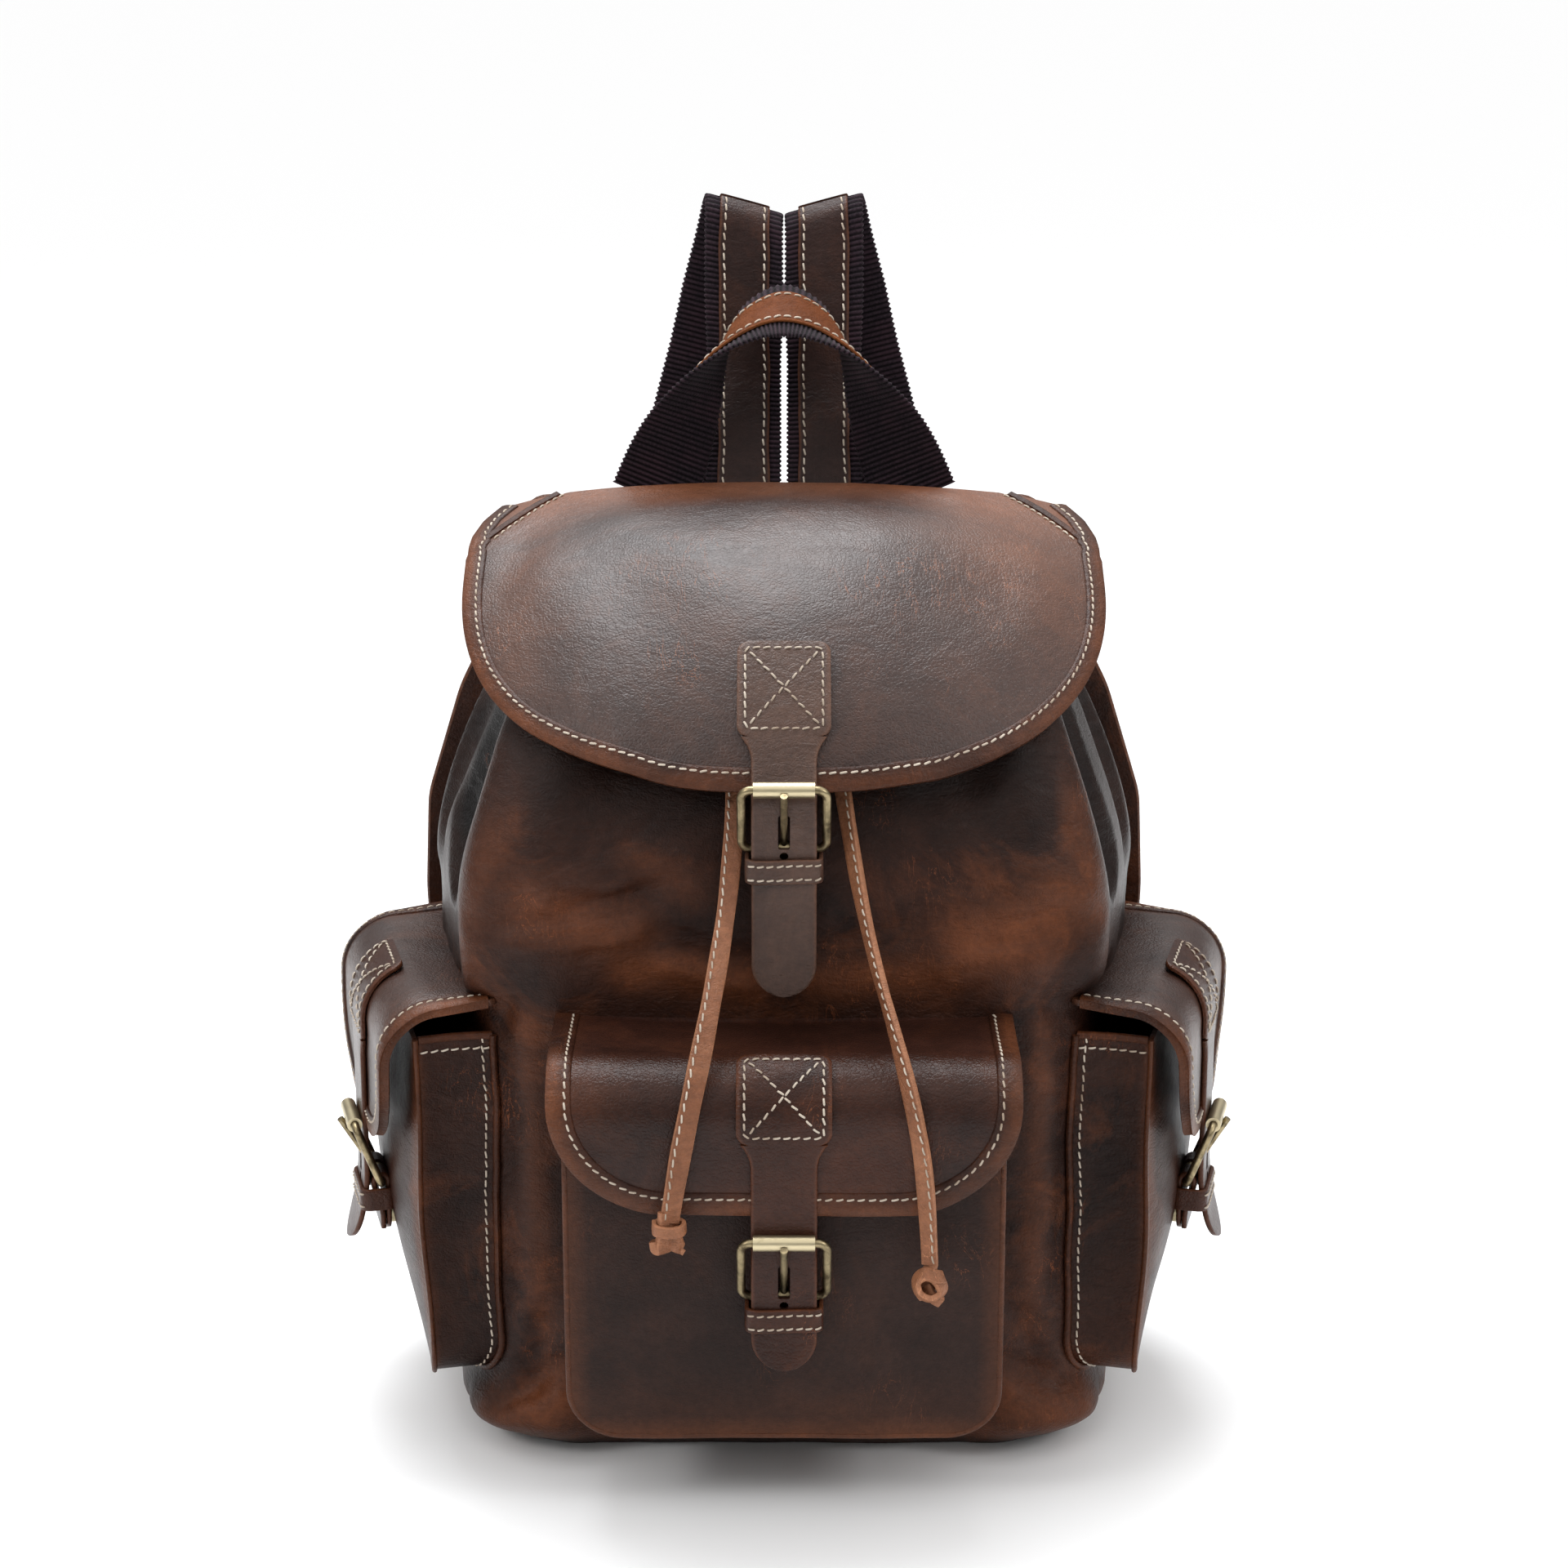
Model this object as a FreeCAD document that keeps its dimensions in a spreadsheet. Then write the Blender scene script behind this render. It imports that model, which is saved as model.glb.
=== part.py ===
"""Leather rucksack: a gathered bag with a lid, three box pockets, a carry handle and two shoulder straps.

Millimetres, +Z up. The origin is the middle of the base, and the front of the bag faces -Y.
"""

import math
import os

import FreeCAD
import Part
from FreeCAD import Placement, Rotation, Vector

doc = FreeCAD.newDocument("rucksack")

# ---------------------------------------------------------------- driving dimensions

SIZES = {
    # main bag
    "leather": 2.4,
    "back_y": 68.0,
    "back_thick": 4.0,
    "back_top": 372.0,
    "rim_top": 336.0,
    "base_thick": 3.0,
    "casing_height": 18.0,
    # lid
    "lid_leather": 2.6,
    "lid_half_width": 129.5,
    "lid_mid_y": 5.0,
    "lid_reach": 100.0,
    "lid_ridge_radius": 140.0,
    "lid_ridge_y": 36.0,
    "lid_top": 380.0,
    "lid_hinge_y": 60.0,
    # pockets
    "front_width": 167.0,
    "front_height": 145.0,
    "front_depth": 50.0,
    "front_base": 37.0,
    "front_rise": 13.0,
    "front_drop": 57.0,
    "front_overhang": 5.5,
    "side_width": 122.0,
    "side_height": 150.0,
    "side_depth": 30.0,
    "side_base": 33.0,
    "side_rise": 16.0,
    "side_drop": 68.0,
    "side_overhang": 3.0,
    "pocket_leather": 2.0,
    "pocket_corner": 20.0,
    "flap_bend": 22.0,
    "flap_corner": 42.0,
    # buckle fastening
    "strap_width": 25.0,
    "strap_thick": 2.4,
    "patch_width": 36.0,
    "main_tail": 83.0,
    "pocket_tail": 53.0,
    "wire_r": 1.7,
    "wire_bend": 4.0,
    "frame_width": 32.6,
    "roller_r": 3.1,
    "roller_bore": 1.78,
    "roller_long": 23.4,
    "prong_r": 1.4,
    "prong_long": 29.0,
    "eye_r": 3.2,
    "eye_wide": 4.0,
    "tab_thick": 2.4,
    "barrel_r": 4.2,
    "keeper_wide": 30.0,
    "keeper_deep": 15.4,
    "keeper_tall": 9.5,
    "keeper_thick": 1.8,
    "stud_r": 5.5,
    "stud_deep": 2.5,
    "socket_deep": 3.0,
    # carrying straps
    "webbing_width": 32.0,
    "webbing_thick": 2.2,
    "facing_width": 22.0,
    "facing_thick": 1.6,
    "handle_width": 36.0,
    "yoke_width": 150.0,
    "yoke_height": 78.0,
    "yoke_thick": 2.4,
    "slider_wide": 40.0,
    "slider_tall": 16.0,
    "slider_deep": 7.0,
    "ring_wide": 40.0,
    "ring_tall": 15.0,
    "ring_thick": 3.0,
    # drawstring
    "cord_r": 2.6,
    "knot_r": 7.0,
    "eyelet_r": 6.0,
    "eyelet_bore": 3.2,
    "eyelet_deep": 1.2,
}

sheet = doc.addObject("Spreadsheet::Sheet", "sizes")
for row, (alias, value) in enumerate(SIZES.items(), start=1):
    sheet.set(f"A{row}", alias)
    sheet.set(f"B{row}", str(value))
    sheet.setAlias(f"B{row}", alias)
doc.recompute()


def size(alias):
    """A driving dimension, read back from the sheet."""
    return float(getattr(sheet, alias))


GAP = 0.3  # clearance between pieces that touch
SEAM = 0.05  # clearance between pieces that are sewn together
SIDE_TURN = 76.0  # the side pockets face outwards and a little forwards
FRONT_PLACE = Placement(Vector(0, -84, size("front_base")), Rotation())
SIDE_MIDDLE = Vector(131, -15, size("side_base"))


def side_place(side):
    """The place of a side pocket's frame. side is -1 on the side towards -X and 1 on the other."""
    turn = Rotation(Vector(0, 0, 1), side * SIDE_TURN)
    return Placement(Vector(side * SIDE_MIDDLE.x, SIDE_MIDDLE.y, SIDE_MIDDLE.z), turn)


# ---------------------------------------------------------------- helpers

subparts = []


def sub_part(obj, label, place=None):
    """Names a finished sub-part, puts it in place and lists it for export."""
    obj.Label = label
    if place is not None:
        obj.Placement = place
    subparts.append(obj)
    return obj


def bound(kind, name, at=None, turn=None, **sizes):
    """A Part primitive whose sizes are bound to the sheet, at a place in its sub-part's frame."""
    obj = doc.addObject(kind, name)
    for prop, formula in sizes.items():
        obj.setExpression(prop, formula)
    obj.Placement = Placement(at or Vector(), turn or Rotation())
    return obj


def boolean(kind, name, base, tool):
    """A Part::Cut or Part::Common of two objects."""
    obj = doc.addObject(kind, name)
    obj.Base, obj.Tool = base, tool
    return obj


def fuse(name, shapes):
    obj = doc.addObject("Part::MultiFuse", name)
    obj.Shapes = shapes
    return obj


def feature(name, shape):
    """A Part::Feature for a shape that neither primitives nor sketches suit."""
    obj = doc.addObject("Part::Feature", name)
    obj.Shape = shape
    return obj


def sketch_body(name, plane, lines, height, corner=None, reverse=False):
    """A PartDesign body: one padded outline of straight lines.

    lines is the closed outline's points, and height the pad's length as a formula. corner is a radius
    formula and a test that picks the edges it rounds.
    """
    body = doc.addObject("PartDesign::Body", name)
    sketch = body.newObject("Sketcher::SketchObject", name + "_outline")
    origin = [o for o in body.Origin.OriginFeatures if o.Role == plane][0]
    sketch.AttachmentSupport = [(origin, "")]
    sketch.MapMode = "FlatFace"
    ends = lines[1:] + lines[:1]
    for start, end in zip(lines, ends):
        sketch.addGeometry(Part.LineSegment(Vector(*start, 0), Vector(*end, 0)))
    pad = body.newObject("PartDesign::Pad", name + "_pad")
    pad.Profile = sketch
    pad.setExpression("Length", height)
    pad.Reversed = reverse
    doc.recompute()
    if corner:
        radius, pick = corner
        edges = [f"Edge{i}" for i, e in enumerate(pad.Shape.Edges, 1) if pick(e)]
        rounding = body.newObject("PartDesign::Fillet", name + "_corners")
        rounding.Base = (pad, edges)
        rounding.setExpression("Radius", radius)
    return body


def along_y(edge):
    """True for a straight edge along Y."""
    a, b = edge.Vertexes[0].Point, edge.Vertexes[-1].Point
    return abs(a.x - b.x) < 1e-6 and abs(a.z - b.z) < 1e-6


def low_edge_along_y(edge):
    return along_y(edge) and edge.CenterOfMass.z < 3.0


TURN_X = Rotation(Vector(0, 1, 0), 90)  # takes a cylinder's axis to +X
TURN_Y = Rotation(Vector(1, 0, 0), 90)  # takes a cylinder's axis to -Y

# ---------------------------------------------------------------- main bag

# Height, half-width at the front, half-width at the back, front face's y, corner radius.
BAG_SECTIONS = [
    (0, 112, 125, -66, 36),
    (12, 126, 142, -78, 40),
    (40, 122, 148, -83, 40),
    (200, 120, 155, -84, 40),
    (242, 122, 153, -84, 40),
    (290, 106, 138, -70, 36),
    (340, 82, 113, -43, 32),
]


def rounded_outline(corners, radius, z):
    """A closed wire at height z: straight runs joined by tangent arcs."""
    edges, joins = [], []
    count = len(corners)
    for i, corner in enumerate(corners):
        here = Vector(corner[0], corner[1], z)
        to_last = Vector(*corners[i - 1], z).sub(here).normalize()
        to_next = Vector(*corners[(i + 1) % count], z).sub(here).normalize()
        half = to_last.getAngle(to_next) / 2
        back = radius / math.tan(half)
        middle = to_last.add(to_next).normalize() * (radius / math.sin(half) - radius)
        joins.append((here + to_last * back, here + middle, here + to_next * back))
    for i, (start, middle, end) in enumerate(joins):
        edges.append(Part.Arc(start, middle, end).toShape())
        edges.append(Part.LineSegment(end, joins[(i + 1) % count][0]).toShape())
    return Part.Wire(edges)


def bag_solid(inset, sections=BAG_SECTIONS):
    """The bag's outer form, taken in by inset all round."""
    wires = []
    for z, front, back, front_y, radius in sections:
        back_y = size("back_y") - inset
        wires.append(
            rounded_outline(
                [
                    (-(front - inset), front_y + inset),
                    (front - inset, front_y + inset),
                    (back - inset, back_y),
                    (-(back - inset), back_y),
                ],
                max(radius - inset, 5),
                z,
            )
        )
    return Part.makeLoft(wires, True, True)


def slab(z_low, z_high, y_high=200.0):
    """A wide block between two heights, in front of y_high."""
    return Part.makeBox(500, 300 + y_high, z_high - z_low, Vector(-250, -300, z_low))


inner_y = size("back_y") - size("back_thick")
outer = bag_solid(0)
hollow = bag_solid(size("leather"))
cloth_outside = bag_solid(size("leather") + GAP)
cloth_inside = bag_solid(size("leather") + GAP + 0.8)
casing_inside = bag_solid(size("leather") + 2.0)
clear_of_bag = bag_solid(-GAP)

base_top = size("base_thick")
rim = size("rim_top")
wrap = outer.cut(hollow).common(slab(base_top, rim, inner_y))
sub_part(feature("body_wrap", wrap), "body_wrap")

base = outer.common(slab(0, base_top, inner_y))
sub_part(feature("base_panel", base), "base_panel")

casing_low = rim - size("casing_height")
casing = hollow.cut(casing_inside).common(slab(casing_low, rim - 1, inner_y - GAP))
sub_part(feature("mouth_casing", casing), "mouth_casing")

lining = cloth_outside.cut(cloth_inside.common(slab(base_top + 4, rim)))
lining = lining.common(slab(base_top + 3.4, casing_low - GAP, inner_y - GAP))
sub_part(feature("lining", lining), "lining")

back_outline = [
    (-123, 1), (123, 1), (141, 12), (148, 40), (155, 200), (153, 242), (138, 290),
    (114, 338), (108, 372), (-108, 372), (-114, 338), (-138, 290), (-153, 242),
    (-155, 200), (-148, 40), (-141, 12),
]
back = sketch_body("back_panel", "XZ_Plane", back_outline, "sizes.back_thick")
sub_part(back, "back_panel", Placement(Vector(0, size("back_y"), 0), Rotation()))

yoke = bound(
    "Part::Box", "yoke",
    Length="sizes.yoke_width", Width="sizes.yoke_thick", Height="sizes.yoke_height",
)
yoke_low = size("back_top") - 4 - size("yoke_height")
yoke_at = Vector(-size("yoke_width") / 2, size("back_y") + 0.05, yoke_low)
sub_part(yoke, "strap_yoke", Placement(yoke_at, Rotation()))

# ---------------------------------------------------------------- lid


def ridge(y):
    """Height of the lid's middle line: flat over the mouth, then an arc down to the tip."""
    radius, start = size("lid_ridge_radius"), size("lid_ridge_y")
    if y >= start:
        return size("lid_top")
    return size("lid_top") - radius + math.sqrt(radius**2 - (y - start) ** 2)


def droop(y):
    """How fast the lid falls away to its sides, per millimetre squared."""
    return 0.0006 + 0.00002 * (size("lid_hinge_y") - y)


def lid_section(y, low, high):
    """A closed arc-shaped strip across the lid at y, from low to high below its outer surface."""
    half = size("lid_half_width") + 6
    above_centre = ridge(y) - size("lid_top") + size("lid_ridge_radius")
    slope = math.atan2(max(size("lid_ridge_y") - y, 0), above_centre)
    top = ridge(y) - low / math.cos(slope)
    under = ridge(y) - high / math.cos(slope)
    fall = droop(y) * half**2
    outside = Part.Arc(Vector(-half, y, top - fall), Vector(0, y, top), Vector(half, y, top - fall))
    inside = Part.Arc(Vector(half, y, under - fall), Vector(0, y, under), Vector(-half, y, under - fall))
    right = Part.LineSegment(Vector(half, y, top - fall), Vector(half, y, under - fall))
    left = Part.LineSegment(Vector(-half, y, under - fall), Vector(-half, y, top - fall))
    return Part.Wire([g.toShape() for g in (outside, right, inside, left)])


def lid_outline(inset):
    """The lid's plan as a tall prism, taken in by inset: a superellipse with a straight back."""
    half = size("lid_half_width") - inset
    reach = size("lid_reach") - inset
    middle, square, steps = size("lid_mid_y"), LID_SQUARENESS, 24
    points = []
    for i in range(steps + 1):
        angle = math.pi * i / steps
        along = math.cos(angle)
        x = -half * math.copysign(abs(along) ** (2 / square), along)
        points.append(Vector(x, middle - reach * math.sin(angle) ** (2 / square), 200))
    curve = Part.BSplineCurve()
    curve.interpolate(points)
    hinge = size("lid_hinge_y")
    corners = [Vector(half, middle, 200), Vector(half - 1, 36, 200), Vector(half - 10, hinge, 200)]
    corners += [Vector(-p.x, p.y, p.z) for p in reversed(corners)]
    wire = Part.Wire([curve.toShape(), Part.makePolygon(corners)])
    return Part.Face(wire).extrude(Vector(0, 0, 250))


LID_SQUARENESS = 2.3
LID_STATIONS = (60, 36, 18, 0, -18, -36, -54, -68, -80, -90, -98)


def lid_shell(low, high):
    return Part.makeLoft([lid_section(y, low, high) for y in LID_STATIONS], True, True)


lid_whole = lid_shell(0, size("lid_leather"))
binding_width = 7.0
lid_middle = lid_whole.common(lid_outline(binding_width))
sub_part(feature("lid_panel", lid_middle), "lid_panel")
lid_rim = lid_whole.common(lid_outline(0).cut(lid_outline(binding_width)))
lid_rim = lid_rim.common(slab(0, 400, size("lid_hinge_y")))
sub_part(feature("lid_binding", lid_rim), "lid_binding")

# ---------------------------------------------------------------- pockets


def bent_strip(rise, face_y, bottom, outside, thick, width, start=None):
    """A flap's side profile swept across its width: level over the pocket, round an arc, then hanging.

    outside is how far it lies outside the flap's outer face. start is the arc angle it begins at, or None
    for the whole level run. The outer line is at face_y where it hangs and at rise where it is level.
    """
    radius = size("flap_bend")
    centre = Vector(0, face_y + radius, rise - radius)

    def on_arc(r, degrees):
        angle = math.radians(degrees)
        return centre + Vector(0, -r * math.sin(angle), r * math.cos(angle))

    far, near = radius + outside, radius + outside - thick
    first = start or 0.0
    middle = (first + 90) / 2
    edges = [
        Part.Arc(on_arc(far, first), on_arc(far, middle), on_arc(far, 90)).toShape(),
        Part.Arc(on_arc(near, 90), on_arc(near, middle), on_arc(near, first)).toShape(),
    ]
    hang_far = Vector(0, on_arc(far, 90).y, bottom)
    hang_near = Vector(0, on_arc(near, 90).y, bottom)
    edges.append(Part.makeLine(on_arc(far, 90), hang_far))
    edges.append(Part.makeLine(hang_far, hang_near))
    edges.append(Part.makeLine(hang_near, on_arc(near, 90)))
    if start is None:
        level_far = Vector(0, -1.2, rise + outside)
        level_near = Vector(0, -1.2, rise + outside - thick)
        edges.append(Part.makeLine(on_arc(near, 0), level_near))
        edges.append(Part.makeLine(level_near, level_far))
        edges.append(Part.makeLine(level_far, on_arc(far, 0)))
    else:
        edges.append(Part.makeLine(on_arc(near, first), on_arc(far, first)))
    profile = Part.Face(Part.Wire(Part.__sortEdges__(edges)))
    profile.translate(Vector(-width / 2, 0, 0))
    return profile.extrude(Vector(width, 0, 0))


STRAP_PLANE = 15.5  # from a pocket's face to the middle of the strap in front of it
FLAP_FACE = STRAP_PLANE - size("strap_thick") / 2 - 0.1
ROLLER_DROP = 53.0  # from a pocket's top edge to its buckle's roller


def pocket(name, kind, place):
    """A box pocket: a gusset round three sides, a face panel, and a flap that hangs over it."""
    width, height, depth = size(kind + "_width"), size(kind + "_height"), size(kind + "_depth")
    half, skin = width / 2, size("pocket_leather")
    behind = 30.0
    outline = [(-half, 0), (half, 0), (half, height), (-half, height)]
    corner = ("sizes.pocket_corner", low_edge_along_y)
    panel = sketch_body(name + "_panel", "XZ_Plane", outline, "sizes.pocket_leather", corner)
    panel_place = place.multiply(Placement(Vector(0, skin - depth, 0), Rotation()))
    sub_part(panel, name + "_panel", panel_place)

    # the gusset is a deep tray round the same outline, its open back fitted against the bag
    deep = f"sizes.{kind}_depth + {behind}"
    tray = sketch_body(name + "_gusset_outside", "XZ_Plane", outline, deep, corner)
    room = [(skin - half, skin), (half - skin, skin), (half - skin, height + 1), (skin - half, height + 1)]
    room_corner = ("sizes.pocket_corner - sizes.pocket_leather", low_edge_along_y)
    hollow_room = sketch_body(name + "_room", "XZ_Plane", room, deep + " + 2", room_corner)
    tray.Placement = Placement(Vector(0, behind + skin + SEAM, 0), Rotation())
    hollow_room.Placement = Placement(Vector(0, behind + skin + 1, 0), Rotation())
    gusset = boolean("Part::Cut", name + "_gusset_tray", tray, hollow_room)
    body_here = clear_of_bag.copy()
    body_here.Placement = place.inverse()
    against_bag = feature(name + "_bag_side", body_here)
    fitted = boolean("Part::Cut", name + "_gusset_trimmed", gusset, against_bag)
    reach = bound(
        "Part::Box", name + "_gusset_reach", Vector(-width, skin + SEAM - depth, -1),
        Length=f"2 * sizes.{kind}_width", Width=deep, Height=f"sizes.{kind}_height + 2",
    )
    sub_part(boolean("Part::Common", name + "_gusset", fitted, reach), name + "_gusset", place)

    flap_wide = width + 2 * size(kind + "_overhang")
    face_y = -(depth + FLAP_FACE)
    top = height + size(kind + "_rise")
    bottom = top - size(kind + "_drop")
    leather = bent_strip(top, face_y, bottom, 0, size("lid_leather"), flap_wide)
    outline_block = Part.makeBox(flap_wide, depth + 40, 200, Vector(-flap_wide / 2, -depth - 30, bottom))
    low_edges = [e for e in outline_block.Edges if along_y(e) and e.CenterOfMass.z < bottom + 1]
    outline_block = outline_block.makeFillet(size("flap_corner"), low_edges)
    flap = leather.common(outline_block).cut(body_here)
    sub_part(feature(name + "_flap", flap), name + "_flap", place)
    return top, face_y


# ---------------------------------------------------------------- buckle fastenings

# Middle of each round bar in the fastening's own frame: y forwards is negative, z up, origin on the strap's
# middle plane level with the roller.
BAR_TOP = Vector(0, -(1.2 + 3.1 + 0.15), 0)
BAR_LOW = Vector(0, 5.5, -26.0)
TAIL_SLOT = (-24.0, -11.5)
SPARE_HOLE = -27.2
KEEPER_LOW = -37.8
STUD_Z = -43.6
PRONG_LEAN = 30.4


def buckle_pieces(name, place, strap, tail):
    """The pieces of one roller buckle with its strap, tab, keeper, and the press stud hidden behind it."""
    half = size("strap_width") / 2

    slot = Part.makeBox(4.4, 12, TAIL_SLOT[1] - TAIL_SLOT[0], Vector(-2.2, -6, TAIL_SLOT[0]))
    hole = Part.makeCylinder(1.9, 12, Vector(0, 6, SPARE_HOLE), Vector(0, -1, 0))
    sub_part(feature(name + "_strap", strap.cut(slot).cut(hole)), name + "_strap", place)

    # frame: four straight bars and four quarter bends, in a plane that leans through both bars
    across = BAR_LOW - BAR_TOP
    tall = across.Length
    lean = math.degrees(math.atan2(across.y, -across.z))
    bend, wide = size("wire_bend"), size("frame_width")
    bars = []
    for sign in (-1, 1):
        bars.append(bound(
            "Part::Cylinder", name + "_side_bar", Vector(sign * wide / 2, 0, -tall + bend),
            Radius="sizes.wire_r", Height=f"{tall} - 2 * sizes.wire_bend",
        ))
    for z in (0, -tall):
        bars.append(bound(
            "Part::Cylinder", name + "_cross_bar", Vector(-wide / 2 + bend, 0, z), TURN_X,
            Radius="sizes.wire_r", Height="sizes.frame_width - 2 * sizes.wire_bend",
        ))
    flat = Rotation(Vector(1, 0, 0), 90)
    for sx, sz, first in ((1, 0, 0), (-1, 0, 90), (-1, 1, 180), (1, 1, 270)):
        centre = Vector(sx * (wide / 2 - bend), 0, -bend if sz == 0 else -tall + bend)
        turn = flat.multiply(Rotation(Vector(0, 0, 1), first))
        quarter = bound(
            "Part::Torus", name + "_bend", centre, turn,
            Radius1="sizes.wire_bend", Radius2="sizes.wire_r",
        )
        quarter.Angle3 = 90
        bars.append(quarter)
    frame_place = place.multiply(Placement(BAR_TOP, Rotation(Vector(1, 0, 0), lean)))
    sub_part(fuse(name + "_frame", bars), name + "_buckle_frame", frame_place)

    barrel = bound(
        "Part::Cylinder", name + "_roller_tube", Vector(-size("roller_long") / 2, 0, 0), TURN_X,
        Radius="sizes.roller_r", Height="sizes.roller_long",
    )
    bore = bound(
        "Part::Cylinder", name + "_roller_bore", Vector(-size("roller_long"), 0, 0), TURN_X,
        Radius="sizes.roller_bore", Height="2 * sizes.roller_long",
    )
    roller = boolean("Part::Cut", name + "_roller", barrel, bore)
    sub_part(roller, name + "_roller", place.multiply(Placement(BAR_TOP, Rotation())))

    eye = bound(
        "Part::Cylinder", name + "_eye", Vector(-size("eye_wide") / 2, 0, 0), TURN_X,
        Radius="sizes.eye_r", Height="sizes.eye_wide",
    )
    pin = bound("Part::Cylinder", name + "_pin", Radius="sizes.prong_r", Height="sizes.prong_long")
    whole = fuse(name + "_prong_whole", [eye, pin])
    eye_bore = bound(
        "Part::Cylinder", name + "_eye_bore", Vector(-size("eye_wide"), 0, 0), TURN_X,
        Radius="sizes.roller_bore", Height="2 * sizes.eye_wide",
    )
    prong = boolean("Part::Cut", name + "_prong", whole, eye_bore)
    lean_forward = Rotation(Vector(1, 0, 0), PRONG_LEAN)
    sub_part(prong, name + "_prong", place.multiply(Placement(BAR_LOW, lean_forward)))

    # the tab folds round the low bar, and hangs behind the strap with the stud on its back
    back = BAR_LOW.y + size("barrel_r")
    plate_long = tail + BAR_LOW.z - 3.5
    plate = bound(
        "Part::Box", name + "_tab_plate", Vector(-half, back - size("tab_thick"), BAR_LOW.z - plate_long),
        Length="sizes.strap_width", Width="sizes.tab_thick", Height=f"{plate_long}",
    )
    fold = bound(
        "Part::Cylinder", name + "_tab_fold", Vector(-half, BAR_LOW.y, BAR_LOW.z), TURN_X,
        Radius="sizes.barrel_r", Height="sizes.strap_width",
    )
    fold_bore = bound(
        "Part::Cylinder", name + "_fold_bore", Vector(-half - 1, BAR_LOW.y, BAR_LOW.z), TURN_X,
        Radius="sizes.roller_bore", Height="sizes.strap_width + 2",
    )
    eye_gap = bound(
        "Part::Box", name + "_eye_gap", Vector(-3, BAR_LOW.y - 6, BAR_LOW.z - 5),
        Length="sizes.eye_wide + 2", Width="sizes.barrel_r * 2 + 4", Height="12",
    )
    tab_whole = fuse(name + "_tab_whole", [plate, fold])
    tab_holes = fuse(name + "_tab_holes", [fold_bore, eye_gap])
    tab = boolean("Part::Cut", name + "_tab", tab_whole, tab_holes)

    ring = bound(
        "Part::Box", name + "_keeper_outside",
        Vector(-size("keeper_wide") / 2, -1.6 - size("keeper_thick"), KEEPER_LOW),
        Length="sizes.keeper_wide", Width="sizes.keeper_deep", Height="sizes.keeper_tall",
    )
    space = bound(
        "Part::Box", name + "_keeper_inside",
        Vector(-size("keeper_wide") / 2 + size("keeper_thick"), -1.6, KEEPER_LOW - 1),
        Length="sizes.keeper_wide - 2 * sizes.keeper_thick",
        Width="sizes.keeper_deep - 2 * sizes.keeper_thick", Height="sizes.keeper_tall + 2",
    )
    keeper = boolean("Part::Cut", name + "_keeper", ring, space)
    both = doc.addObject("Part::Compound", name + "_tab_and_keeper")
    both.Links = [tab, keeper]
    sub_part(both, name + "_tab_and_keeper", place)

    stud_at = Vector(0, back + 0.05, STUD_Z)
    stud = bound("Part::Cylinder", name + "_stud", Radius="sizes.stud_r", Height="sizes.stud_deep")
    stud_turn = Rotation(Vector(1, 0, 0), -90)
    sub_part(stud, name + "_stud", place.multiply(Placement(stud_at, stud_turn)))

    socket_at = Vector(0, back + 0.05 + size("stud_deep") + GAP, STUD_Z)
    socket = Part.makeCylinder(size("stud_r"), size("socket_deep") - 0.1)
    socket.Placement = place.multiply(Placement(socket_at, stud_turn))
    return socket


def pocket_strap(top, face_y, roller_z):
    """The strap of a pocket's flap, in the fastening's frame: a wide sewn patch, then a narrow tail."""
    thick = size("strap_thick")
    outside = thick + 0.1
    patch_end = roller_z + 38.0
    patch = bent_strip(top, face_y, patch_end, outside, thick, size("patch_width"), start=15)
    tail_end = roller_z - size("pocket_tail")
    tail = bent_strip(top, face_y, tail_end, outside, thick, size("strap_width"), start=15)
    low = [e for e in tail.Edges if along_y(e) and e.CenterOfMass.z < tail_end + 1]
    strap = patch.fuse(tail.makeFillet(11.5, low)).removeSplitter()
    strap.translate(Vector(0, outside - face_y - thick / 2, -roller_z))
    return strap


MAIN_PLACE = Placement(Vector(0, -99.5, 292), Rotation())
PATCH_TURN = (45.0, 61.0)  # where the lid strap's patch starts and ends on the lid's arc
STRAP_TURN = 62.0  # where the lid strap leaves the arc


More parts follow.
